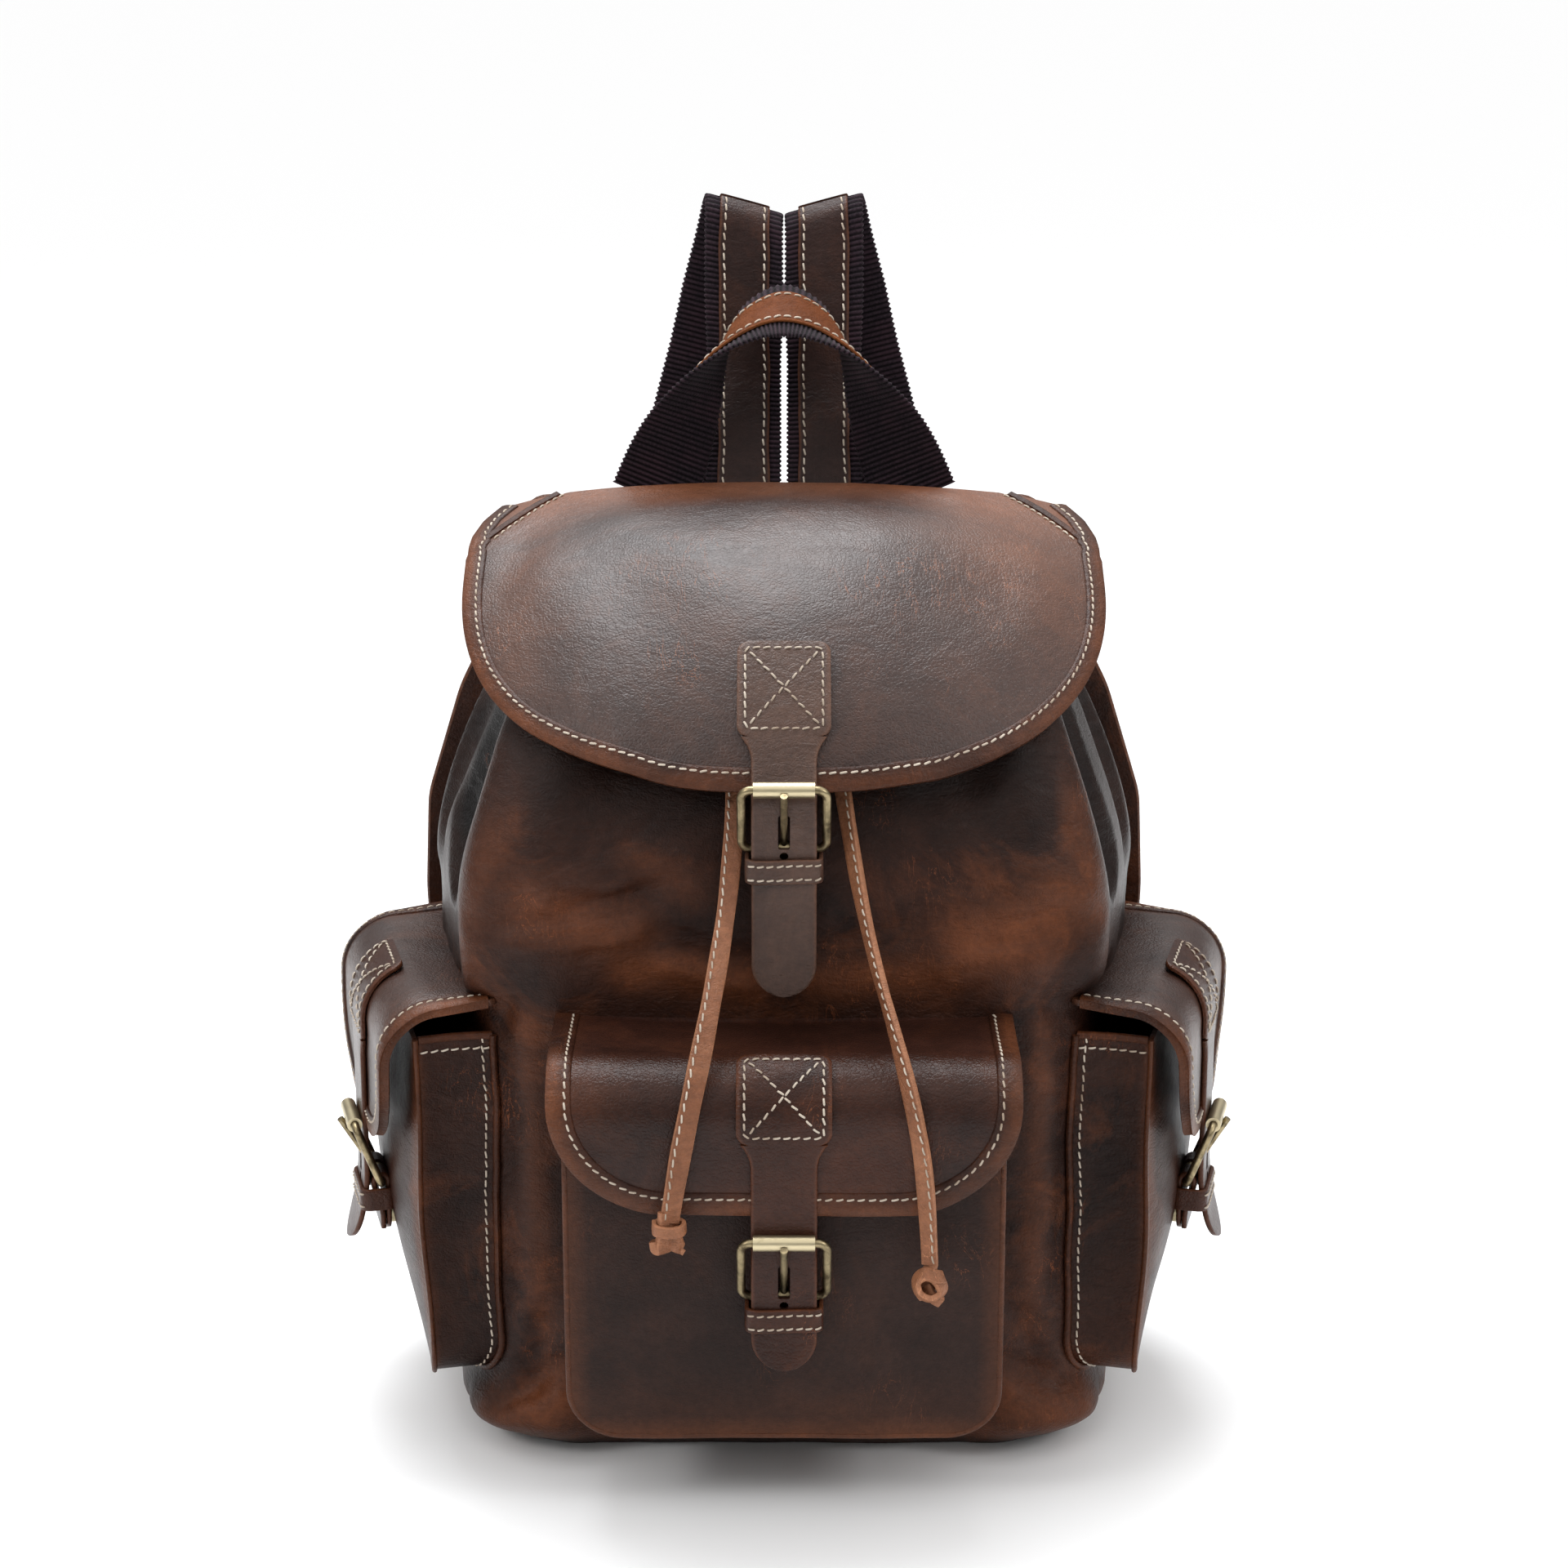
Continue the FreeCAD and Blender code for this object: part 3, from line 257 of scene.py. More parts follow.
def mesh_object(name, verts, faces, material, wear_and_shade=None, sharp=50):
    """A mesh piece from points in millimetres."""
    mesh = bpy.data.meshes.new(name)
    mesh.from_pydata((np.asarray(verts, float) * MM).tolist(), [], faces)
    mesh.polygons.foreach_set("use_smooth", [True] * len(mesh.polygons))
    if wear_and_shade is not None:
        layer = mesh.attributes.new("wear_and_shade", "FLOAT", "POINT")
        layer.data.foreach_set("value", np.asarray(wear_and_shade, np.float32).ravel())
    mesh.set_sharp_from_angle(angle=math.radians(sharp))
    mesh.materials.append(material)
    obj = bpy.data.objects.new(name, mesh)
    bpy.context.scene.collection.objects.link(obj)
    return obj


def quads(rows, columns, start=0, wrap_rows=False, wrap_columns=False, flip=False):
    """Quads over a grid of points stored row by row."""
    i = np.arange(rows if wrap_rows else rows - 1)[:, None]
    j = np.arange(columns if wrap_columns else columns - 1)[None, :]
    i2, j2 = (i + 1) % rows, (j + 1) % columns
    parts = [i * columns + j, i * columns + j2, i2 * columns + j2, i2 * columns + j]
    if flip:
        parts.reverse()
    full = np.stack(np.broadcast_arrays(*parts), -1).reshape(-1, 4) + start
    return full.tolist()


def unit(v):
    return v / np.maximum(np.linalg.norm(v, axis=-1, keepdims=True), 1e-9)


def grid_normals(grid):
    """Unit normals of a grid of points, on the side its quads face."""
    return unit(np.cross(np.gradient(grid, axis=1), np.gradient(grid, axis=0)))


def sheet_mesh(name, grid, thick, material, wear_and_shade=None, flip=False):
    """A closed sheet of leather from its outer face, a grid of points. The inner face lies thick behind."""
    rows, columns = grid.shape[:2]
    inner = grid - grid_normals(grid) * (-thick if flip else thick)
    verts = np.concatenate([grid.reshape(-1, 3), inner.reshape(-1, 3)])
    count = rows * columns
    faces = quads(rows, columns, 0, flip=flip) + quads(rows, columns, count, flip=not flip)
    ring = list(range(columns)) + [r * columns + columns - 1 for r in range(1, rows)]
    ring += [(rows - 1) * columns + c for c in range(columns - 2, -1, -1)]
    ring += [r * columns for r in range(rows - 2, 0, -1)]
    for a, b in zip(ring, ring[1:] + ring[:1]):
        face = [b, a, a + count, b + count]
        faces.append(face[::-1] if flip else face)
    both = None if wear_and_shade is None else np.concatenate([wear_and_shade.ravel(), wear_and_shade.ravel() * 0.4])
    return mesh_object(name, verts, faces, material, both)


def loft(name, sections, material, closed=False, wear_and_shade=None, sharp=50):
    """A solid through closed sections, one row of points each."""
    rows, columns = sections.shape[:2]
    faces = quads(rows, columns, 0, wrap_rows=closed, wrap_columns=True)
    if not closed:
        faces.append(list(range(columns))[::-1])
        faces.append([(rows - 1) * columns + c for c in range(columns)])
    obj = mesh_object(name, sections.reshape(-1, 3), faces, material, wear_and_shade, sharp)
    return outward(obj)


def outward(obj):
    """Turns every face of a closed mesh outwards."""
    mesh = obj.data
    volume = 0.0
    for polygon in mesh.polygons:
        corners = [mesh.vertices[i].co for i in polygon.vertices]
        for b, c in zip(corners[1:], corners[2:]):
            volume += corners[0].dot(b.cross(c))
    if volume < 0:
        mesh.flip_normals()
    return obj


def resample(points, step=None, count=None, closed=False):
    """Points at even spacing along a polyline."""
    points = np.asarray(points, float)
    if closed:
        points = np.vstack([points, points[:1]])
    s = np.concatenate([[0], np.cumsum(np.linalg.norm(np.diff(points, axis=0), axis=1))])
    count = count or max(2, int(round(s[-1] / step)) + 1)
    at = np.linspace(0, s[-1], count, endpoint=not closed)
    return np.stack([np.interp(at, s, points[:, k]) for k in range(points.shape[1])], -1)


def rounded(corners, radii, step=2.0, closed=True):
    """A 2-D outline with its corners rounded, as evenly spaced points."""
    corners = np.asarray(corners, float)
    n, out = len(corners), []
    for i in range(n):
        here, radius = corners[i], radii[i]
        if radius == 0 or (not closed and i in (0, n - 1)):
            out.append(here)
            continue
        a, b = unit(corners[i - 1] - here), unit(corners[(i + 1) % n] - here)
        half = math.acos(np.clip(a @ b, -1, 1)) / 2
        back = radius / math.tan(half)
        centre = here + unit(a + b) * radius / math.sin(half)
        start, end = here + a * back - centre, here + b * back - centre
        first, last = math.atan2(start[1], start[0]), math.atan2(end[1], end[0])
        turn = (last - first + math.pi) % (2 * math.pi) - math.pi
        steps = max(3, int(abs(turn) * radius / step) + 1)
        for k in range(steps + 1):
            angle = first + turn * k / steps
            out.append(centre + radius * np.array([math.cos(angle), math.sin(angle)]))
    return resample(out, step=step, closed=closed)


def inward(outline, closed=True):
    """Unit normals in the plane, pointing into an outline that runs anticlockwise."""
    if closed:
        along = np.roll(outline, -1, 0) - np.roll(outline, 1, 0)
    else:
        along = np.gradient(outline, axis=0)
    along = unit(along)
    return np.stack([-along[:, 1], along[:, 0]], -1)


def fan_sheet(name, outline, to_space, thick, material, rings=44, centre=None, wear_and_shade=None):
    """A sheet with a free outline: rings from a middle point to the rim, mapped onto a surface."""
    centre = outline.mean(0) if centre is None else np.asarray(centre, float)
    shares = 1 - (1 - np.linspace(0.012, 1, rings)) ** 1.15
    flat = centre + (outline[None] - centre) * shares[:, None, None]
    place, normal = to_space(flat.reshape(-1, 2))
    place, normal = place.reshape(rings, -1, 3), normal.reshape(rings, -1, 3)
    n = outline.shape[0]
    layers = [place, place - normal * thick]
    verts = np.concatenate([layer.reshape(-1, 3) for layer in layers])
    count = rings * n
    faces = quads(rings, n, 0, wrap_columns=True) + quads(rings, n, count, wrap_columns=True, flip=True)
    faces.append(list(range(n))[::-1])
    faces.append([count + k for k in range(n)])
    last = (rings - 1) * n
    for k in range(n):
        k2 = (k + 1) % n
        faces.append([last + k, last + k2, count + last + k2, count + last + k])
    values = None
    if wear_and_shade is not None:
        one = wear_and_shade(flat.reshape(-1, 2))
        values = np.concatenate([one, one * 0.3])
    return outward(mesh_object(name, verts, faces, material, values, sharp=60))


# a rim binding's section: distance in from the rim, and height above the outer face
ROLL = [
    (0.0, -0.35), (-0.06, 0.55), (0.03, 0.95), (0.28, 1.25), (0.55, 1.2), (0.8, 1.1), (0.93, 0.95),
    (1.0, 0.3), (1.0, -1.2),
]


def steepness(outline, side, to_space):
    """How much longer the surface is than its plan, going in from each point of a rim."""
    _, normal = to_space(outline + side * 3)
    rise = (normal[:, :2] * side).sum(1) / np.maximum(normal[:, 2], 0.2)
    return np.sqrt(1 + rise**2)[:, None]


def binding(name, outline, to_space, wide, thick, wear_and_shade, stretch=1.0):
    """A leather strip folded over an open run of a rim."""
    side = inward(outline, closed=False)
    top = [(wide * a, h) for a, h in ROLL]
    bottom = [(wide * a, -thick - h) for a, h in reversed(ROLL[1:-1])]
    profile = top + bottom
    rows = []
    for inset, lift in profile:
        place, normal = to_space(outline + side * inset / stretch)
        rows.append(place + normal * lift)
    sections = np.stack(rows, 1)
    wear = np.tile([wear_and_shade * math.exp(-(((a - 0.15 * wide) / (0.42 * wide)) ** 2)) for a, _ in profile],
                   (sections.shape[0], 1))
    wave = 0.75 + 0.5 * rng.random(6)
    along = np.linspace(0, 1, sections.shape[0])[:, None]
    swing = sum(w * np.sin(2 * math.pi * (k + 1) * along + 6 * w) for k, w in enumerate(wave)) / 6
    wear = np.clip(wear * (0.5 + 0.9 * swing), 0, 1)
    return loft(name, sections, BINDING, wear_and_shade=wear)


# ---------------------------------------------------------------- stitches

RING = np.linspace(0, 2 * math.pi, 6, endpoint=False)
# one stitch: place along it, height and thickness, as shares
STITCH = [(-0.5, -0.5, 0.55), (-0.4, 0.25, 0.95), (-0.15, 0.95, 1.0), (0.15, 0.95, 1.0), (0.4, 0.25, 0.95),
          (0.5, -0.5, 0.55)]


class Thread:
    """Collects stitches, each a short rounded length of thread that dips into the leather at its ends."""

    def __init__(self):
        self.verts, self.faces, self.count = [], [], 0

    def row(self, points, normals, pitch=4.1, long=3.05, radius=0.43, slant=9, lift=0.28, closed=False):
        points = np.asarray(points, float)
        if closed:
            points, normals = np.vstack([points, points[:1]]), np.vstack([normals, normals[:1]])
        s = np.concatenate([[0], np.cumsum(np.linalg.norm(np.diff(points, axis=0), axis=1))])
        count = max(1, int(round(s[-1] / pitch)))
        gap = s[-1] / count
        middles = (np.arange(count) + 0.5) * gap + rng.normal(0, 0.1, count)
        length = long * gap / pitch

        def at(values, where):
            return np.stack([np.interp(where, s, values[:, k]) for k in range(3)], -1)

        centre, normal = at(points, middles), unit(at(np.asarray(normals, float), middles))
        along = unit(at(points, np.minimum(middles + 1, s[-1])) - at(points, np.maximum(middles - 1, 0)))
        across = np.cross(normal, along)
        tilt = np.radians(slant + rng.normal(0, 3.5, count))[:, None]
        way = along * np.cos(tilt) + across * np.sin(tilt)
        across = unit(np.cross(normal, way))
        rings = []
        for place, height, size in STITCH:
            core = centre + way * (place * length) + normal * (lift * height)
            for angle in RING:
                rings.append(core + across * (radius * size * math.cos(angle))
                             + normal * (radius * size * math.sin(angle)))
        block = np.stack(rings, 1)
        per = block.shape[1]
        pattern = quads(len(STITCH), 6, 0, wrap_columns=True)
        ends = [list(range(6))[::-1], [per - 6 + k for k in range(6)]]
        self.verts.append(block.reshape(-1, 3))
        pattern, ends = np.array(pattern), np.array(ends)
        starts = self.count + per * np.arange(count)[:, None, None]
        self.faces += (starts + pattern[None]).reshape(-1, 4).tolist()
        self.faces += (starts + ends[None]).reshape(-1, 6).tolist()
        self.count += per * count

    def build(self, name):
        return mesh_object(name, np.concatenate(self.verts), self.faces, THREAD, sharp=80)


threads = {}


def stitch(piece, points, normals, **options):
    threads.setdefault(piece, Thread()).row(points, normals, **options)


# ---------------------------------------------------------------- flat bands

# the upper half of a flat band's section: shares of its half-width and half-thickness
BAND_TOP = [
    (-1, 0.45), (-0.965, 0.86), (-0.88, 1), (-0.6, 1.04), (-0.2, 1.06), (0.2, 1.06), (0.6, 1.04), (0.88, 1),
    (0.965, 0.86), (1, 0.45),
]


def band_sections(centre, across, out, width, thick):
    """Sections of a flat band with eased edges. width and thick may vary along it."""
    width, thick = np.broadcast_to(width, len(centre)), np.broadcast_to(thick, len(centre))
    columns = [(a, b) for a, b in BAND_TOP] + [(a, -b) for a, b in reversed(BAND_TOP)]
    rows = [centre + across * (a * width / 2)[:, None] + out * (b * thick / 2)[:, None] for a, b in columns]
    return np.stack(rows, 1)


def edge_wear(count, edge, middle):
    """Rub values for one band: high at its edges."""
    row = [edge if abs(a) > 0.9 else middle for a, _ in BAND_TOP]
    return np.tile(row + row[::-1], (count, 1))


def smooth_path(stations, step):
    """Catmull-Rom through rows of numbers, then even spacing by the first three, a position."""
    p = np.vstack([2 * stations[0] - stations[1], stations, 2 * stations[-1] - stations[-2]])
    fine = []
    for i in range(1, len(p) - 2):
        a, b, c, d = p[i - 1], p[i], p[i + 1], p[i + 2]
        ab, bc, cd = (max(np.linalg.norm((v - u)[:3]), 1e-6) ** 0.5 for u, v in ((a, b), (b, c), (c, d)))
        m1 = (c - b) + bc * ((b - a) / ab - (c - a) / (ab + bc))
        m2 = (c - b) + bc * ((d - c) / cd - (d - b) / (bc + cd))
        for t in np.linspace(0, 1, 40, endpoint=False):
            fine.append((2 * t**3 - 3 * t**2 + 1) * b + (t**3 - 2 * t**2 + t) * m1
                        + (3 * t**2 - 2 * t**3) * c + (t**3 - t**2) * m2)
    fine = np.array(fine + [p[-2]])
    s = np.concatenate([[0], np.cumsum(np.linalg.norm(np.diff(fine[:, :3], axis=0), axis=1))])
    at = np.linspace(0, s[-1], max(2, int(s[-1] / step) + 1))
    return np.stack([np.interp(at, s, fine[:, k]) for k in range(fine.shape[1])], -1), at

# ---------------------------------------------------------------- drawstring tails


def spline_points(name, route):
    """Points read from a NURBS spline through a route's control points, in millimetres."""
    curve = bpy.data.curves.new(name, "CURVE")
    curve.dimensions = "3D"
    curve.resolution_u = 24
    spline = curve.splines.new("NURBS")
    spline.points.add(len(route) - 1)
    for point, place in zip(spline.points, route):
        point.co = (*place, 1)
    spline.order_u = 3
    spline.use_endpoint_u = True
    obj = bpy.data.objects.new(name, curve)
    bpy.context.scene.collection.objects.link(obj)
    mesh = bpy.data.meshes.new_from_object(obj)
    points = np.array([v.co for v in mesh.vertices]) / MM
    bpy.data.objects.remove(obj)
    bpy.data.meshes.remove(mesh)
    bpy.data.curves.remove(curve)
    return points


LEFT_ROUTE = [
    (-0.0185, -0.0705, 0.301), (-0.0186, -0.079, 0.286), (-0.0194, -0.088, 0.268), (-0.0215, -0.101, 0.247),
    (-0.025, -0.119, 0.227), (-0.0295, -0.139, 0.207), (-0.035, -0.1515, 0.183), (-0.040, -0.1545, 0.158),
    (-0.043, -0.1545, 0.138),
]
RIGHT_ROUTE = [
    (0.0205, -0.0705, 0.301), (0.0225, -0.079, 0.286), (0.0255, -0.088, 0.268), (0.0295, -0.101, 0.247),
    (0.035, -0.119, 0.226), (0.042, -0.139, 0.206), (0.049, -0.152, 0.180), (0.0535, -0.1545, 0.152),
    (0.055, -0.1545, 0.121),
]


def leather_cord(name, route, wide, thick, twist, seam):
    """A drawstring tail: a folded strip of leather that turns a little as it hangs."""
    line = resample(spline_points(name + "_route", route), step=1.2)
    along = unit(np.gradient(line, axis=0))
    toward = np.array([0.0, -1.0, 0.25])
    across = unit(np.cross(toward, along))
    out = unit(np.cross(along, across))
    share = np.linspace(0, 1, len(line))
    turn = np.radians(np.interp(share, *zip(*twist)))[:, None]
    across, out = across * np.cos(turn) + out * np.sin(turn), out * np.cos(turn) - across * np.sin(turn)
    width = wide * np.interp(share, [0, 0.05, 0.5, 1], [0.8, 0.95, 1.02, 1.0])
    width = width * (1 + 0.05 * np.sin(9 * share + 1) + 0.03 * np.sin(31 * share))
    sections = band_sections(line, across, out, width, thick)
    body = loft(name, sections, CORD, wear_and_shade=edge_wear(len(line), 0.75, 0.12))
    edge = line + across * (seam * (width / 2 - 1.5))[:, None] + out * (thick / 2)
    stitch(name + "_stitches", edge, out, pitch=4.4, long=3.3, radius=0.38)
    return body, line


def curl(name, centre, turns, wide, thick):
    """A knot: a strip of the cord leather wound round itself, through the given points."""
    path, _ = smooth_path(np.array(turns, float) + np.array(centre), 0.7)
    along = unit(np.gradient(path, axis=0))
    middle = path.mean(0)
    out = unit(path - middle + np.array([0, -1.5, 0]))
    across = unit(np.cross(along, out))
    out = unit(np.cross(across, along))
    sections = band_sections(path, across, out, wide, thick)
    return loft(name, sections, CORD, wear_and_shade=edge_wear(len(path), 0.8, 0.3))


cord_left, left_line = leather_cord(
    "left_drawstring", LEFT_ROUTE, 7.6, 2.7, [(0, 10), (0.5, -6), (1, -12)], -1)
cord_right, right_line = leather_cord(
    "right_drawstring", RIGHT_ROUTE, 6.4, 2.6, [(0, 20), (0.28, 48), (0.5, 66), (0.8, 30), (1, 18)], 1)

# the left tail ends in a stub folded back on itself and cuffed; the right one in a curled knot
left_end, right_end = left_line[-1], right_line[-1]
stub = curl("left_knot", left_end + [0, 0, -1],
            [(-0.4, 0.6, 5), (-0.6, 0.2, 0), (-1.2, 0, -6), (-3.2, 0.2, -10.8), (-5.2, 0.8, -10.2),
             (-5.8, 1.6, -7.4)], 8.2, 3.0)
cuff = curl("left_knot_cuff", left_end + [-0.3, 0, -2.4],
            [(-5.6, 1.4, 0.6), (-4.8, -2.6, -0.1), (0, -3.5, -0.7), (4.8, -2.6, -0.2), (5.7, 1.0, 0.5),
             (2.5, 3, 0.9), (-2.5, 3, 0.9), (-5.4, 1.8, 0.2)], 4.6, 1.7)
fray = curl("left_knot_end", left_end + [0, 0, -1],
            [(0.5, 0.8, -1), (1.6, 0.6, -6), (3.6, 0.2, -10.4), (5.4, -0.2, -11.6)], 6.4, 2.2)
loop = curl("right_knot", right_end + [0, 0, -7.2],
            [(0.5, 0, 7.4), (0.2, -0.6, 3.6), (3.6, -2.6, 0.8), (4.6, -2.4, -3.4), (0.6, -3.0, -6),
             (-4, -2.4, -4), (-5, -1.2, 0.6), (-2, -2.6, 4), (2.6, -3.2, 3.2), (4.6, 0.2, 1.2),
             (2.6, 2.8, -2), (-1.6, 2.8, -3.2), (-3.4, 1.0, -5.2), (-2.0, -0.6, -7.0)], 5.2, 2.2)
tail = curl("right_knot_end", right_end + [0, 0, -7.2],
            [(-1.5, 0.6, -2), (0.5, -0.8, -5.6), (3.0, -1.2, -7.4), (4.4, -1.0, -8.2)], 4.6, 2.0)
for piece in (cord_left, stub, cuff, fray, cord_right, loop, tail):
    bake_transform(piece)
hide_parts("left_cord")
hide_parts("right_cord")
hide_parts("cord_knots")

# ---------------------------------------------------------------- main bag

SECTIONS = np.array([
    (0, 112, 125, -66, 36), (12, 126, 142, -78, 40), (40, 122, 148, -83, 40), (200, 120, 155, -84, 40),
    (242, 122, 153, -84, 40), (290, 106, 138, -70, 36), (340, 82, 113, -43, 32),
], float)
BACK_Y, WRAP_END, RIM = 68.0, 64.0, 336.0


def section_at(z):
    """Front half-width, back half-width, front face and corner radius of the bag at a height."""
    heights = SECTIONS[:, 0]
    slopes = np.gradient(SECTIONS, heights, axis=0)
    slopes[2:4] = 0.3 * slopes[2:4]
    i = int(np.clip(np.searchsorted(heights, z, side="right") - 1, 0, len(heights) - 2))
    h = heights[i + 1] - heights[i]
    t = np.clip((z - heights[i]) / h, 0, 1.0)
    row = ((2 * t**3 - 3 * t**2 + 1) * SECTIONS[i] + (t**3 - 2 * t**2 + t) * h * slopes[i]
           + (3 * t**2 - 2 * t**3) * SECTIONS[i + 1] + (t**3 - t**2) * h * slopes[i + 1])
    return row[1:]


def half_outline(z, inset=0.0):
    """The bag's right half in plan, from the middle of the front to the back panel."""
    front, back, face, radius = section_at(z)
    front, back, face, radius = front - inset, back - inset, face + inset, radius - inset
    corners = [(0, face), (front, face), (back, BACK_Y - inset), (0, BACK_Y - inset)]
    line = rounded(corners, [0, radius, radius, 0], step=1.5, closed=False)
    stop = np.argmax((line[:, 1] > WRAP_END) & (line[:, 0] > 20)) or len(line)
    return line[:stop]


# soft folds: from (w, z) to (w, z), half-width at both ends, and height, where w runs round the bag from the
# middle of its front
FOLDS = [
    (-99, 338, -131, 214, 8, 17, 7.5), (99, 338, 127, 222, 8, 16, 7.0),
    (-123, 338, -154, 238, 9, 12, -10.5), (121, 338, 152, 242, 9, 13, -10.0),
    (-150, 330, -186, 246, 9, 14, 3.4), (148, 330, 182, 246, 9, 14, 3.8),
    (-158, 322, -170, 262, 13, 15, -6.5), (-176, 330, -206, 250, 9, 14, -3.4),
    (176, 330, 204, 250, 9, 14, -3.6),
    (-206, 326, -224, 240, 7, 10, 4.0), (204, 326, 222, 240, 7, 10, 4.0),
    (-70, 338, -64, 292, 6, 12, -2.6), (66, 338, 72, 288, 6, 12, -2.8),
    (-52, 338, -46, 300, 5, 10, 2.0), (48, 338, 50, 300, 5, 10, 2.2),
    (-30, 338, -28, 306, 4, 9, -2.0), (30, 338, 30, 306, 4, 9, -2.0),
    (-84, 338, -96, 262, 5, 13, 2.2), (84, 338, 96, 258, 5, 12, 2.4),
    (-133, 213, -176, 217, 15, 16, 6.5), (129, 216, 176, 219, 15, 16, 6.0),
    (-112, 196, -150, 196, 8, 10, -3.0), (110, 198, 150, 196, 8, 10, -3.0),
    (-118, 232, -56, 243, 7, 9, -2.4), (-104, 222, -60, 229, 6, 7, 1.8), (-92, 246, -40, 258, 6, 10, 1.8),
    (120, 234, 82, 226, 7, 8, -2.0), (112, 246, 64, 262, 7, 10, 1.8), (100, 214, 60, 216, 6, 8, 1.5),
    (-50, 226, -8, 215, 6, 8, -1.6), (-44, 214, -14, 206, 5, 6, 1.2), (60, 236, 20, 222, 8, 9, -1.4),
    (-134, 12, -96, 20, 13, 15, 5.5), (134, 12, 96, 20, 13, 15, 5.0),
    (-104, 34, -96, 60, 8, 9, -3.0), (104, 36, 97, 64, 8, 9, -2.6), (-116, 26, -90, 40, 5, 6, -2.4),
    (118, 30, 92, 44, 5, 6, -2.2), (-160, 14, -196, 16, 12, 12, 4.0), (160, 14, 196, 16, 12, 12, 4.0),
    (-101, 70, -103, 190, 7, 7, 1.6), (101, 70, 104, 190, 7, 7, 1.5),
]
# fine wrinkles: from (w, z) to (w, z), half-width and height
WRINKLES = [
    (-112, 239, -88, 247, 1.7, -0.9), (-108, 232, -70, 238, 1.6, -0.9), (-96, 226, -66, 229, 1.5, -0.8),
    (-86, 236, -58, 246, 1.5, -0.8), (-104, 247, -84, 256, 1.6, -0.7), (-78, 221, -58, 224, 1.3, -0.7),
    (-92, 219, -74, 219, 1.2, -0.6), (-70, 250, -52, 258, 1.5, -0.6), (-46, 232, -30, 226, 1.4, -0.7),
    (-42, 222, -22, 216, 1.3, -0.7), (-30, 211, -12, 209, 1.2, -0.6), (100, 226, 74, 222, 1.5, -0.8),
    (112, 236, 84, 232, 1.6, -0.9), (92, 215, 66, 213, 1.4, -0.7), (88, 244, 68, 250, 1.5, -0.6),
    (-118, 250, -110, 268, 1.7, -0.8), (114, 250, 108, 270, 1.7, -0.8), (-122, 20, -100, 31, 1.7, -0.9),
    (120, 22, 100, 33, 1.7, -0.9), (-108, 44, -97, 52, 1.5, -0.8), (108, 46, 98, 55, 1.5, -0.8),
    (56, 228, 34, 220, 1.4, -0.6), (-62, 262, -48, 276, 1.6, -0.5), (70, 262, 54, 280, 1.6, -0.5),
]
# places rubbed bare, and painted light on the right front: from (w, z) to (w, z), half-width and amount
RUBBED_AND_LIT = [
    (-100, 240, -60, 226, 13, 0.55), (-60, 214, -12, 208, 9, 0.8), (14, 208, 64, 212, 9, 0.7),
    # (108, 240) to (74, 224) is partly rubbing and partly painted light: lighter rust where the front light
    # brightens the right front
    (108, 240, 74, 224, 15, 0.75), (104, 292, 122, 236, 8, 0.5), (-98, 292, -124, 232, 8, 0.35),
    (-60, 262, -36, 246, 9, 0.3), (-118, 14, -92, 30, 12, 0.55),
    (118, 14, 92, 30, 12, 0.55), (-97, 60, -99, 190, 5, 0.35), (99, 60, 101, 190, 5, 0.35),
    (-130, 217, -168, 219, 9, 0.3), (128, 219, 168, 220, 9, 0.3), (100, 300, 124, 230, 6, 0.3),
    (-100, 300, -126, 224, 6, 0.25), (-190, 12, 190, 12, 7, 0.3),
]


FOLD_LIFT, WRINKLE_LIFT = 1.35, 1.4


def stroke(w, z, w0, z0, w1, z1, first, last=None):
    """A soft brush along a line: 1 on it, fading over its half-width."""
    last = first if last is None else last
    dw, dz = w1 - w0, z1 - z0
    t = np.clip(((w - w0) * dw + (z - z0) * dz) / (dw * dw + dz * dz), 0, 1)
    far = np.hypot(w - w0 - t * dw, z - z0 - t * dz)
    return np.exp(-((far / (first + (last - first) * t)) ** 2))


def bag_relief(w, z):
    """How far the leather stands out of the bag's plain form."""
    spots = list(zip(w.ravel(), z.ravel()))
    wander = np.array([noise.noise(Vector((a / 70, b / 70, 3.1))) for a, b in spots]).reshape(w.shape)
    fine = np.array([noise.fractal(Vector((a / 26, b / 34, 8.7)), 1.0, 2.1, 3) for a, b in spots])
    fine = fine.reshape(w.shape)
    bent_w, bent_z = w + 5 * wander, z + 4 * fine
    relief = 1.6 * wander + 0.7 * fine
    for w0, z0, w1, z1, first, last, height in FOLDS:
        relief = relief + FOLD_LIFT * height * stroke(bent_w, bent_z, w0, z0, w1, z1, first, last)
    for w0, z0, w1, z1, wide, height in WRINKLES:
        relief = relief + WRINKLE_LIFT * height * stroke(w + 2 * fine, z + 2.4 * fine, w0, z0, w1, z1, wide)
    stands = np.interp(np.abs(w), [118, 138], [12.0, 1.4])
    relief = np.where(relief > 0, stands * np.tanh(relief / stands), relief)
    pleats = 1.7 * np.sin(w / 7.6 + 2.2 * wander) * np.clip((z - 296) / 36, 0, 1) ** 1.3
    quiet_top = np.clip((336.5 - z) / 4, 0.25, 1)
    quiet_back = np.clip((np.abs(np.abs(w) - 262) - 2) / 20, 0.15, 1)
    return (relief + pleats) * quiet_top * np.where(np.abs(w) > 200, quiet_back, 1.0)


HEIGHTS = np.unique(np.concatenate([[0.6, 2, 4, 7], np.arange(10, 336.1, 2.2), [RIM]]))
HALF = 108


